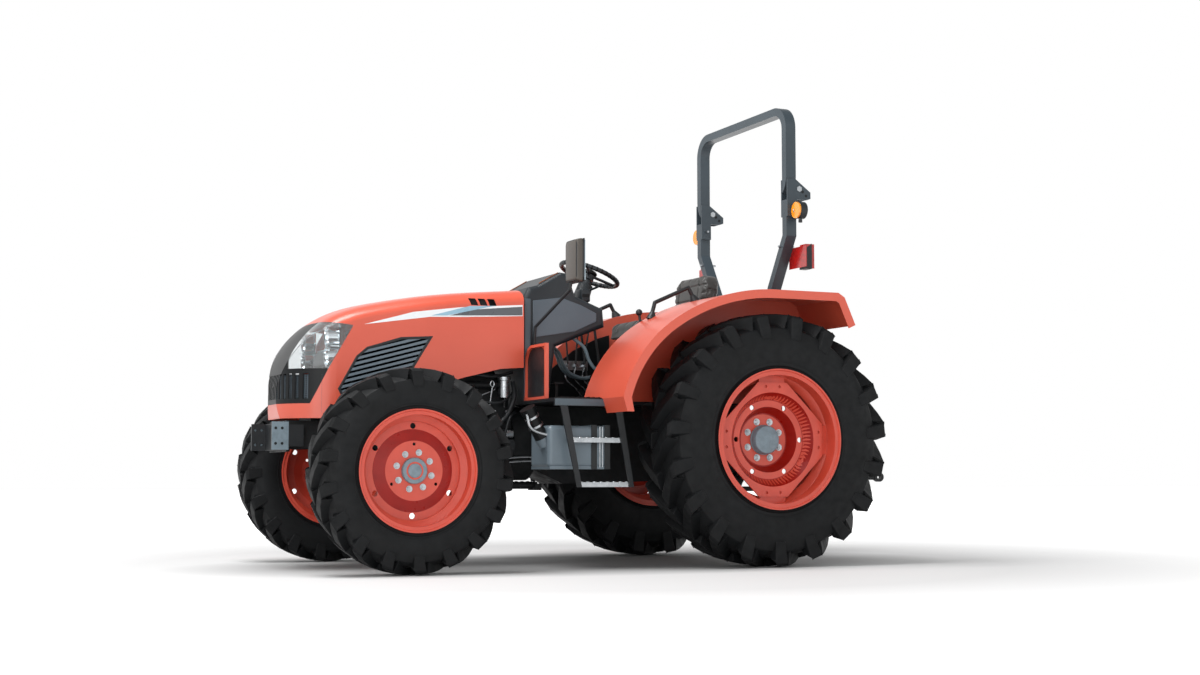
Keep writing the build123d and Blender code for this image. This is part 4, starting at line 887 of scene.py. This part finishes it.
cowl = {
    "half": 0.280,
    "sunk": 0.001,          # how deep the added pieces sit in the cowl's side
    "panelStand": 0.005, "panelEdge": 0.004,
    "upperPanel": [(1.240, 1.340), (1.240, 1.560), (1.060, 1.585), (0.930, 1.545), (0.830, 1.500),
                   (0.830, 1.450), (0.970, 1.385)],
    "lowerPanel": [(1.243, 1.000), (1.243, 1.318), (1.128, 1.318), (1.152, 1.000)],
    "pillarAhead": (1.256, 1.294), "pillarHeight": (0.990, 1.570), "pillarStand": 0.008, "pillarEdge": 0.003,
    "trim": [(1.190, 0.250, 1.668), (1.130, 0.250, 1.702), (1.068, 0.250, 1.738)], "trimRadius": 0.003,
}
for side, hand in hands.items():
    inside = cowl["half"] - cowl["sunk"]
    outside = cowl["half"] + cowl["panelStand"]
    for outline, name, plastic in (("upperPanel", "cowlPanelUpper", cowlPanelPlastic),
                                   ("lowerPanel", "cowlPanelLower", cowlPlastic)):
        piece = sideSheet(cowl[outline], side, inside, outside, plastic, name + hand, "chassis")
        soften = piece.modifiers.new("panelEdges", "BEVEL")
        soften.width = cowl["panelEdge"]
        soften.segments = 3
    bm = bmesh.new()
    low, high = mirrored(side, inside, cowl["half"] + cowl["pillarStand"])
    (rear, front), (bottom, top) = cowl["pillarAhead"], cowl["pillarHeight"]
    softBox(bm, (ahead(rear), low, bottom), (ahead(front), high, top), cowl["pillarEdge"])
    finishPiece(bm, "cowlPillar" + hand, pillarPlastic, "chassis")
    bm = bmesh.new()
    # a thin orange-brown rod along the instrument hood's near edge: painted highlight
    addTube(bm, route(cowl["trim"], side), cowl["trimRadius"], 8)
    finishPiece(bm, "hoodEdgeTrim" + hand, edgeHighlightPaint, "chassis")


# Steering column: shroud with its collar, switch box and stalk, and the wheel's boss and grip

column = {
    "top": Vector((ahead(0.750), 0, 1.770)),
    "axis": Vector((-0.357, 0, 0.934)).normalized(),
    "sleeves": [(0.330, 0.070, 0.062, 0.046), (0.345, 0.300, 0.085, 0.064)],    # depths, then radii
    "switchBox": [(0.800, 0.035, 1.585), (0.862, 0.130, 1.665)],
    "stalk": [(0.800, 0.040, 1.655), (0.760, 0.120, 1.675), (0.745, 0.175, 1.690)],
    "slot": [(0.805, 0.129, 1.612), (0.855, 0.1312, 1.632)],
    "bossRadius": 0.047, "bossStand": 0.010, "bossSquash": 0.45,
    "gripCircle": 0.183, "gripBalls": 36, "gripRadius": 0.0152,
}
columnTop, columnAxis = column["top"], column["axis"]
bm = bmesh.new()
for low, high, radius, farRadius in column["sleeves"]:
    addRod(bm, columnTop - columnAxis * low, columnTop - columnAxis * high, radius, farRadius, 32)
softBox(bm, *route(column["switchBox"]), 0.008)
addTube(bm, route(column["stalk"]), 0.007, 10)
finishPiece(bm, "columnShroud", cowlPlastic, "chassis")
bm = bmesh.new()
addBox(bm, *route(column["slot"]))
finishPiece(bm, "switchSlot", nosePlastic, "chassis")

bm = bmesh.new()
wheelTurn = turnedTo(columnAxis)
boss = Matrix.Translation(columnTop + columnAxis * column["bossStand"])
bmesh.ops.create_uvsphere(bm, u_segments=28, v_segments=14, radius=column["bossRadius"],
                          matrix=boss @ wheelTurn @ Matrix.Diagonal((1, 1, column["bossSquash"], 1)))
for i in range(column["gripBalls"]):
    angle = 2 * math.pi * i / column["gripBalls"]
    grip = wheelTurn @ (Vector((math.cos(angle), math.sin(angle), 0)) * column["gripCircle"])
    addBall(bm, columnTop + grip, column["gripRadius"])
finishPiece(bm, "wheelGrip", nosePlastic, "steering_wheel")
print("cowl done")


# Mirror: a crowned shell over the head's front, and the glass with its rim behind

mirror = {
    "shell": [(1.0925, 0.5185, 1.6385), (1.1370, 0.6915, 1.8915)],
    "shellTaper": 0.008, "shellEdge": 0.012,
    "glass": [(1.0765, 0.528, 1.648), (1.0845, 0.682, 1.882)],
    "rim": [(1.0835, 0.5195, 1.6395), (1.0925, 0.6905, 1.8905)],
}
bm = bmesh.new()
low, high = (Vector(corner) for corner in route(mirror["shell"]))
middle = (low + high) / 2
for v in addBox(bm, low, high):
    if v.co.x > middle.x:
        v.co.y += mirror["shellTaper"] if v.co.y < middle.y else -mirror["shellTaper"]
        v.co.z += mirror["shellTaper"] if v.co.z < middle.z else -mirror["shellTaper"]
bmesh.ops.bevel(bm, geom=bm.edges[:], offset=mirror["shellEdge"], offset_type="OFFSET", segments=4,
                profile=0.5, affect="EDGES", material=-1)
finishPiece(bm, "mirrorShell", mirrorBack, "chassis", smoothAngle=60)
for part, name, material, edge in (("glass", "mirrorGlass", mirrorGlass, 0.003),
                                   ("rim", "mirrorRim", satinBlack, 0.004)):
    bm = bmesh.new()
    softBox(bm, *route(mirror[part]), edge, 2)
    finishPiece(bm, name, material, "chassis")


# Consoles beside the seat, feet of the fender handles, pins and holes of the roll bar

console = {"outline": [(0.405, 0.985), (0.955, 0.985), (0.930, 1.060), (0.820, 1.200), (0.660, 1.330),
                       (0.500, 1.410), (0.405, 1.440)], "inside": 0.458, "outside": 0.4745}
handleFoot = {
    "feet": [[(0.600, 0.560, 1.450), (0.588, 0.560, 1.494), 0.030],     # ends, and radius at the fender
             [(0.3065, 0.560, 1.570), (0.3260, 0.560, 1.606), 0.034]],
    "topRadius": 0.014,
}
rollBarPin = {
    "boltAcross": (0.5255, 0.6045), "boltAt": (-0.398, 2.292), "boltHalf": 0.006, "boltRadius": 0.019,
    "pin": [(-0.350, 0.500, 2.170), (-0.350, 0.640, 2.170)], "pinRadius": 0.007,
    "clip": [(-0.350, 0.634, 2.170), (-0.335, 0.640, 2.150), (-0.352, 0.640, 2.128), (-0.366, 0.640, 2.150)],
    "clipRadius": 0.0025,
    "throughBolts": [[(-0.300, 0.515, 1.940), (-0.410, 0.515, 1.940)],
                     [(-0.300, 0.375, 1.640), (-0.410, 0.375, 1.640)]],
    "holesAt": [(-0.448, 2.252), (-0.424, 2.276)], "holesAcross": (0.5255, 0.6041),
    "holeHalf": 0.0006, "holeRadius": 0.009,
}
for side, hand in hands.items():
    sideSheet(console["outline"], side, console["inside"], console["outside"], nosePlastic, "console" + hand,
              "chassis")
    bm = bmesh.new()
    for start, end, radius in handleFoot["feet"]:
        addRod(bm, *route([start, end], side), radius, handleFoot["topRadius"], 24)
    finishPiece(bm, "handleFeet" + hand, satinBlack, "chassis")
    bm = bmesh.new()
    x, z = rollBarPin["boltAt"]
    half = rollBarPin["boltHalf"]
    for y in rollBarPin["boltAcross"]:
        ends = route([(x, y - half, z), (x, y + half, z)], side)
        addRod(bm, *ends, rollBarPin["boltRadius"], segments=6)
    addRod(bm, *route(rollBarPin["pin"], side), rollBarPin["pinRadius"])
    addTube(bm, route(rollBarPin["clip"], side), rollBarPin["clipRadius"], 8)
    for bolt in rollBarPin["throughBolts"]:
        addRod(bm, *route(bolt, side), rollBarPin["pinRadius"])
    finishPiece(bm, "rollBarPins" + hand, steel, "chassis")
    bm = bmesh.new()
    half = rollBarPin["holeHalf"]
    for x, z in rollBarPin["holesAt"]:
        for y in rollBarPin["holesAcross"]:
            ends = route([(x, y - half, z), (x, y + half, z)], side)
            addRod(bm, *ends, rollBarPin["holeRadius"], segments=24)
    finishPiece(bm, "bracketHoles" + hand, casting, "chassis")


# Valve levers on the right console, with their links

valve = {
    "levers": [(0.60, -0.05, 1.53), (0.66, -0.02, 1.50), (0.72, 0.02, 1.46)],     # foot, lean and top
    "across": -0.430, "pitch": 0.012, "foot": 1.24, "bend": 1.36, "leverRadius": 0.006, "knob": 0.017,
    "linksFrom": 0.585, "linkPitch": 0.06, "linkRadius": 0.004,
    "link": [(0, -0.440, 1.235), (0.02, -0.430, 1.15), (-0.05, -0.420, 1.08), (-0.12, -0.430, 1.00)],
    "spool": [(0, -0.457, 1.235), (0, -0.420, 1.235)], "spoolRadius": 0.014,
    "plate": [(0.56, -0.4575, 1.205), (0.74, -0.4535, 1.265)],
}
bm = bmesh.new()
for i, (x, lean, top) in enumerate(valve["levers"]):
    y = valve["across"] + valve["pitch"] * i
    addTube(bm, route([(x, y, valve["foot"]), (x + 0.4 * lean, y, valve["bend"]), (x + lean, y, top)]),
            valve["leverRadius"], 8)
    addBall(bm, (ahead(x + lean), y, top + 0.012), valve["knob"], (1, 1, 1.3))
finishPiece(bm, "valveLevers", satinBlack, "chassis")
bm = bmesh.new()
for i in range(len(valve["levers"])):
    start = valve["linksFrom"] + valve["linkPitch"] * i
    spool, link = ([(start + x, y, z) for x, y, z in valve[part]] for part in ("spool", "link"))
    addRod(bm, *route(spool), valve["spoolRadius"], segments=6)
    addTube(bm, route(link), valve["linkRadius"], 8)
addBox(bm, *route(valve["plate"]))
finishPiece(bm, "valveLinks", steel, "chassis")


# Weight bracket: pale side plates with their bolt holes

weightPlate = {"length": 0.095, "from": 0.0002, "to": 0.0018, "edge": 0.0007,
               "holesBehind": (0.058, 0.022), "holeInset": 0.035, "holeFrom": 0.0012, "holeTo": 0.0023,
               "holeRadius": 0.008}
bracketLow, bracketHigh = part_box("weight_bracket")
for side, hand in hands.items():
    bm = bmesh.new()
    low, high = mirrored(side, bracketHigh.y + weightPlate["from"], bracketHigh.y + weightPlate["to"])
    softBox(bm, (bracketHigh.x - weightPlate["length"], low, bracketLow.z),
            (bracketHigh.x, high, bracketHigh.z), weightPlate["edge"], 1)
    finishPiece(bm, "bracketPlate" + hand, hubPaint, "chassis")
    bm = bmesh.new()
    near, far = (side * (bracketHigh.y + weightPlate[part]) for part in ("holeFrom", "holeTo"))
    for behind in weightPlate["holesBehind"]:
        x = bracketHigh.x - behind
        for z in (bracketLow.z + weightPlate["holeInset"], bracketHigh.z - weightPlate["holeInset"]):
            addRod(bm, (x, near, z), (x, far, z), weightPlate["holeRadius"], segments=24)
    finishPiece(bm, "plateHoles" + hand, casting, "chassis")
print("driver's place done")


# Engine bay: pipes, bolts and, on the left, injector lines, dipstick, filter and starter motor

engine = {
    "injectors": 4, "injectorsFrom": 1.440, "injectorPitch": 0.125, "injectorRadius": 0.011,
    "lineRadius": 0.0035,
    "dipstick": [(1.500, 0.236, 0.640), (1.502, 0.240, 0.850), (1.480, 0.245, 1.040)],
    "dipstickRing": [(1.480, 0.245, 1.040), (1.468, 0.245, 1.062), (1.480, 0.245, 1.082),
                     (1.492, 0.245, 1.062), (1.480, 0.245, 1.044)],
    "rods": [([(1.395, 0.215, 0.985), (1.395, 0.215, 1.085)], 0.033, 28),
             ([(1.395, 0.215, 1.087), (1.395, 0.215, 1.105)], 0.040, 28),
             ([(1.350, 0.232, 0.772), (1.440, 0.232, 0.772)], 0.026, 24)],
    "bolts": 8, "boltsFrom": 1.360, "boltPitch": 0.078, "boltRows": (0.655, 0.905), "boltRadius": 0.010,
    "pipes": [(0.214, 0.628), (0.226, 0.604)], "pipeRadius": 0.006,     # across and height of each
    "hoses": [([(1.335, 0.200, 1.080), (1.345, 0.250, 0.980), (1.420, 0.262, 0.850), (1.560, 0.245, 0.800),
                (1.640, 0.180, 0.860)], 0.014),
              ([(1.330, 0.180, 1.140), (1.450, 0.190, 1.110), (1.600, 0.185, 1.120),
                (1.800, 0.170, 1.105)], 0.010),
              ([(1.330, 0.230, 0.900), (1.380, 0.268, 0.860), (1.430, 0.262, 0.720),
                (1.530, 0.235, 0.660)], 0.009),
              ([(1.325, 0.205, 1.030), (1.420, 0.262, 0.960), (1.520, 0.262, 0.955),
                (1.600, 0.225, 0.990)], 0.007)],
    "relay": [(1.330, 0.170, 0.930), (1.375, 0.235, 0.985)],
    "starter": [([(1.345, 0.220, 0.700), (1.500, 0.220, 0.700)], 0.048),
                ([(1.500, 0.220, 0.700), (1.520, 0.220, 0.700)], 0.030)],
    "coupling": [(1.555, 0.170, 0.985), (1.640, 0.215, 1.035)],
}
for side, hand in hands.items():
    bm = bmesh.new()
    if side > 0:
        for i in range(engine["injectors"]):
            x = engine["injectorsFrom"] + engine["injectorPitch"] * i
            line = [(1.580 + 0.045 * i, 0.205, 0.925), (1.560 + 0.035 * i, 0.240, 0.985),
                    (x + 0.02, 0.225, 1.030), (x, 0.162, 1.060)]
            addTube(bm, route(line), engine["lineRadius"], 8)
            addRod(bm, *route([(x, 0.150, 1.060), (x, 0.176, 1.060)]), engine["injectorRadius"], segments=6)
        addTube(bm, route(engine["dipstick"]), 0.004, 8)
        addTube(bm, route(engine["dipstickRing"]), 0.003, 8)
        for ends, radius, segments in engine["rods"]:
            addRod(bm, *route(ends), radius, segments=segments)
    for i in range(engine["bolts"]):
        x = engine["boltsFrom"] + engine["boltPitch"] * i
        for z in engine["boltRows"]:
            addRod(bm, *route([(x, 0.165, z), (x, 0.174, z)], side), engine["boltRadius"], segments=6)
    for y, z in engine["pipes"]:
        pipe = [(1.000, y, z), (1.250, y, z + 0.01), (1.450, y, z), (1.600, y - 0.01, z + 0.03)]
        addTube(bm, route(pipe, side), engine["pipeRadius"], 8)
    finishPiece(bm, "enginePipes" + hand, steel, "chassis")
    bm = bmesh.new()
    for points, radius in engine["hoses"]:
        addTube(bm, route(points, side), radius)
    if side > 0:
        softBox(bm, *route(engine["relay"]), 0.004)
        for ends, radius in engine["starter"]:
            addRod(bm, *route(ends), radius, segments=28)
        softBox(bm, *route(engine["coupling"]), 0.005)
    finishPiece(bm, "engineHoses" + hand, satinBlack, "chassis")


# Filler neck: its clamps, its black sleeve with the cap, and the breather pipe

neck = {
    "low": Vector((ahead(1.290), 0.600, 0.700)), "high": Vector((ahead(1.400), 0.620, 0.890)),
    "clampsAt": (0.120, 0.176), "clampWidth": 0.012, "clampRadius": 0.0435,
    "sleeveFrom": 0.050, "sleeveRadius": 0.0408,
    "cap": [(1.3958, 0.619, 0.8826), (1.4104, 0.622, 0.9076)], "capRadius": 0.0468,
    "breather": [(1.225, 0.655, 0.730), (1.200, 0.655, 0.640)], "breatherRadius": 0.008,
}
along = (neck["high"] - neck["low"]).normalized()
bm = bmesh.new()
for at in neck["clampsAt"]:
    addRod(bm, neck["low"] + along * at, neck["low"] + along * (at + neck["clampWidth"]), neck["clampRadius"],
           segments=32)
finishPiece(bm, "neckClamps", steel, "chassis")
bm = bmesh.new()
addRod(bm, neck["low"] + along * neck["sleeveFrom"], neck["high"], neck["sleeveRadius"], segments=32)
addRod(bm, *route(neck["cap"]), neck["capRadius"], segments=32)
finishPiece(bm, "neckSleeve", nosePlastic, "chassis")
bm = bmesh.new()
addTube(bm, [neck["low"] + along * 0.20 + Vector((0.035, 0.030, 0)),
             neck["low"] + along * 0.10 + Vector((0.045, 0.035, 0)), *route(neck["breather"])],
        neck["breatherRadius"], 10)
finishPiece(bm, "breatherPipe", steel, "chassis")
print("engine bay done")


# Seat: two padded pieces, swollen by a cloth simulation, with sewn channels

padding = {
    "voxel": 0.006,         # size of the even mesh that the cloth starts from
    "shrink": 0.008,        # how far it starts inside the solid
    "pressure": 4,
    "frames": 20,
    "swellLimit": 0.014,    # the furthest that a point moves
    "heldHeight": 0.05,     # points move less and less below this, down to the base
    "seam": 0.007,          # depth of a sewn channel, and its width's measure
}


def settle(piece, modifier):
    # the piece's mesh as its modifier leaves it
    result = bpy.data.meshes.new_from_object(piece.evaluated_get(bpy.context.evaluated_depsgraph_get()))
    piece.modifiers.remove(piece.modifiers[modifier])
    piece.data = result


def padFrom(node, name, facing, seams):
    # facing is the side that shows; seams give (axis, place) of each sewn line on it
    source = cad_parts[node]
    bm = bmesh.new()
    bm.from_mesh(source.data)
    bm.transform(source.matrix_world)
    bmesh.ops.remove_doubles(bm, verts=bm.verts, dist=0.0001)
    bmesh.ops.recalc_face_normals(bm, faces=bm.faces)
    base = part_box(node)[0].z
    middle = middleOf(node)
    for v in bm.verts:
        for i in range(3):
            v.co[i] += padding["shrink"] if v.co[i] < middle[i] else -padding["shrink"]
    piece = finishPiece(bm, name, vinyl, "chassis", [node], 50)
    remesh = piece.modifiers.new("voxels", "REMESH")
    remesh.mode = "VOXEL"
    remesh.voxel_size = padding["voxel"]
    settle(piece, "voxels")
    start = [v.co.copy() for v in piece.data.vertices]
    cloth = piece.modifiers.new("swelling", "CLOTH")
    cloth.settings.use_pressure = True
    cloth.settings.uniform_pressure_force = padding["pressure"]
    cloth.settings.effector_weights.gravity = 0
    for step in range(1, padding["frames"] + 1):
        scene.frame_set(step)
    settle(piece, "swelling")
    scene.frame_set(1)
    for v, was in zip(piece.data.vertices, start):
        move = v.co - was
        if move.length > padding["swellLimit"]:
            move.length = padding["swellLimit"]
        v.co = was + move * min(1, max(0, (was.z - base) / padding["heldHeight"]))
    finer = piece.modifiers.new("finer", "SUBSURF")
    finer.levels = finer.render_levels = 1
    settle(piece, "finer")
    normals = [v.normal.copy() for v in piece.data.vertices]
    for v, normal in zip(piece.data.vertices, normals):
        for axis, at in seams:
            reach = abs(v.co[axis] - at) / padding["seam"]
            if reach < 3 and normal.dot(facing) > 0.3:
                v.co -= facing * padding["seam"] * math.exp(-reach ** 2)
    piece.data.shade_smooth()


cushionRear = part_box("seat_cushion")[0].x
padFrom("seat_cushion", "seatCushionPad", Vector((0, 0, 1)),
        [(1, -0.120), (1, 0.120), *((0, cushionRear + at) for at in (0.120, 0.240, 0.360))])
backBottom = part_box("seat_back")[0].z
padFrom("seat_back", "seatBackPad", Vector((1, 0, 0)),
        [*((2, backBottom + at) for at in (0.130, 0.230, 0.320)), (1, -0.130), (1, 0.130)])
print("seat done")


# Camera, floor and light

view = {"place": (4.1516, 9.5479, 0.5163), "tilt": 94.718, "turn": 155.684, "lens": 50.92, "sensor": 36}
camera = bpy.data.objects.new("camera", bpy.data.cameras.new("camera"))
scene.collection.objects.link(camera)
camera.location = view["place"]
camera.rotation_euler = (math.radians(view["tilt"]), 0, math.radians(view["turn"]))
camera.data.lens = view["lens"]
camera.data.sensor_width = view["sensor"]
scene.camera = camera

ground = {
    "size": 60,
    "colour": "#DEDEDE", "shade": "#808080",
    "oval": (1.0, 1.8, 1.0),        # the shade under the machine is an oval, narrower across it
    "shadeFrom": 1.3, "shadeTo": 2.5,
    "glowFrom": 2.6, "glowTo": 7.0,     # further out the floor glows until it is as white as the backdrop
}
bm = bmesh.new()
bmesh.ops.create_grid(bm, x_segments=1, y_segments=1, size=ground["size"])
floorMesh = bpy.data.meshes.new("floor")
bm.to_mesh(floorMesh)
bm.free()
floor = bpy.data.objects.new("floor", floorMesh)
scene.collection.objects.link(floor)
floorPaint, floorTree, floorShader, floorPlace = startMaterial("paleFloor", ground["colour"], 0.7)
oval = addNode(floorTree, "ShaderNodeVectorMath", {"operation": "MULTIPLY"}, {1: ground["oval"]},
               {0: (floorPlace, "Object")})
ovalDistance = addNode(floorTree, "ShaderNodeVectorMath", {"operation": "LENGTH"},
                       links={0: (oval, "Vector")})
underMachine = addNode(floorTree, "ShaderNodeMapRange",
                       values={"From Min": ground["shadeFrom"], "From Max": ground["shadeTo"]},
                       links={"Value": (ovalDistance, "Value")})
shade = addNode(floorTree, "ShaderNodeValToRGB", links={"Fac": (underMachine, "Result")})
setRamp(shade, 0, ground["shade"], 1, ground["colour"])
floorTree.links.new(shade.outputs["Color"], floorShader.inputs["Base Color"])
away = addNode(floorTree, "ShaderNodeVectorMath", {"operation": "LENGTH"}, links={0: (floorPlace, "Object")})
glow = addNode(floorTree, "ShaderNodeMapRange",
               values={"From Min": ground["glowFrom"], "From Max": ground["glowTo"], "To Max": 1.0},
               links={"Value": (away, "Value")})
floorShader.inputs["Emission Color"].default_value = (1, 1, 1, 1)
floorTree.links.new(glow.outputs["Result"], floorShader.inputs["Emission Strength"])
floorMesh.materials.append(floorPaint)

# the backdrop is white near the horizon and dimmer overhead, where the softbox hangs
backdrop = {"dimFrom": 0.35, "dimTo": 0.75, "low": 1.0, "overhead": 0.3}
world = bpy.data.worlds.new("studio")
world.use_nodes = True
worldTree = world.node_tree
background = worldTree.nodes["Background"]
background.inputs["Color"].default_value = linear("#FFFFFF")
direction = addNode(worldTree, "ShaderNodeTexCoord")
height = addNode(worldTree, "ShaderNodeSeparateXYZ", links={"Vector": (direction, "Generated")})
dimming = addNode(worldTree, "ShaderNodeMapRange",
                  values={"From Min": backdrop["dimFrom"], "From Max": backdrop["dimTo"],
                          "To Min": backdrop["low"], "To Max": backdrop["overhead"]},
                  links={"Value": (height, "Z")})
worldTree.links.new(dimming.outputs["Result"], background.inputs["Strength"])
scene.world = world
scene.view_settings.view_transform = "Standard"

lamps = {
    "topSoftbox": {"at": (3.0, 1.0, 7.0), "aim": (0, 0, 0.5), "power": 520, "size": 3.5},
    "cameraFill": {"at": (5.5, 9.0, 3.5), "aim": (0, 0, 1.0), "power": 255, "size": 6.0},
}
for lampName, lamp in lamps.items():
    light = bpy.data.lights.new(lampName, "AREA")
    light.energy = lamp["power"]
    light.size = lamp["size"]
    holder = bpy.data.objects.new(lampName, light)
    scene.collection.objects.link(holder)
    holder.location = lamp["at"]
    holder.rotation_euler = (Vector(lamp["aim"]) - Vector(lamp["at"])).to_track_quat("-Z", "Y").to_euler()
print("stage done")
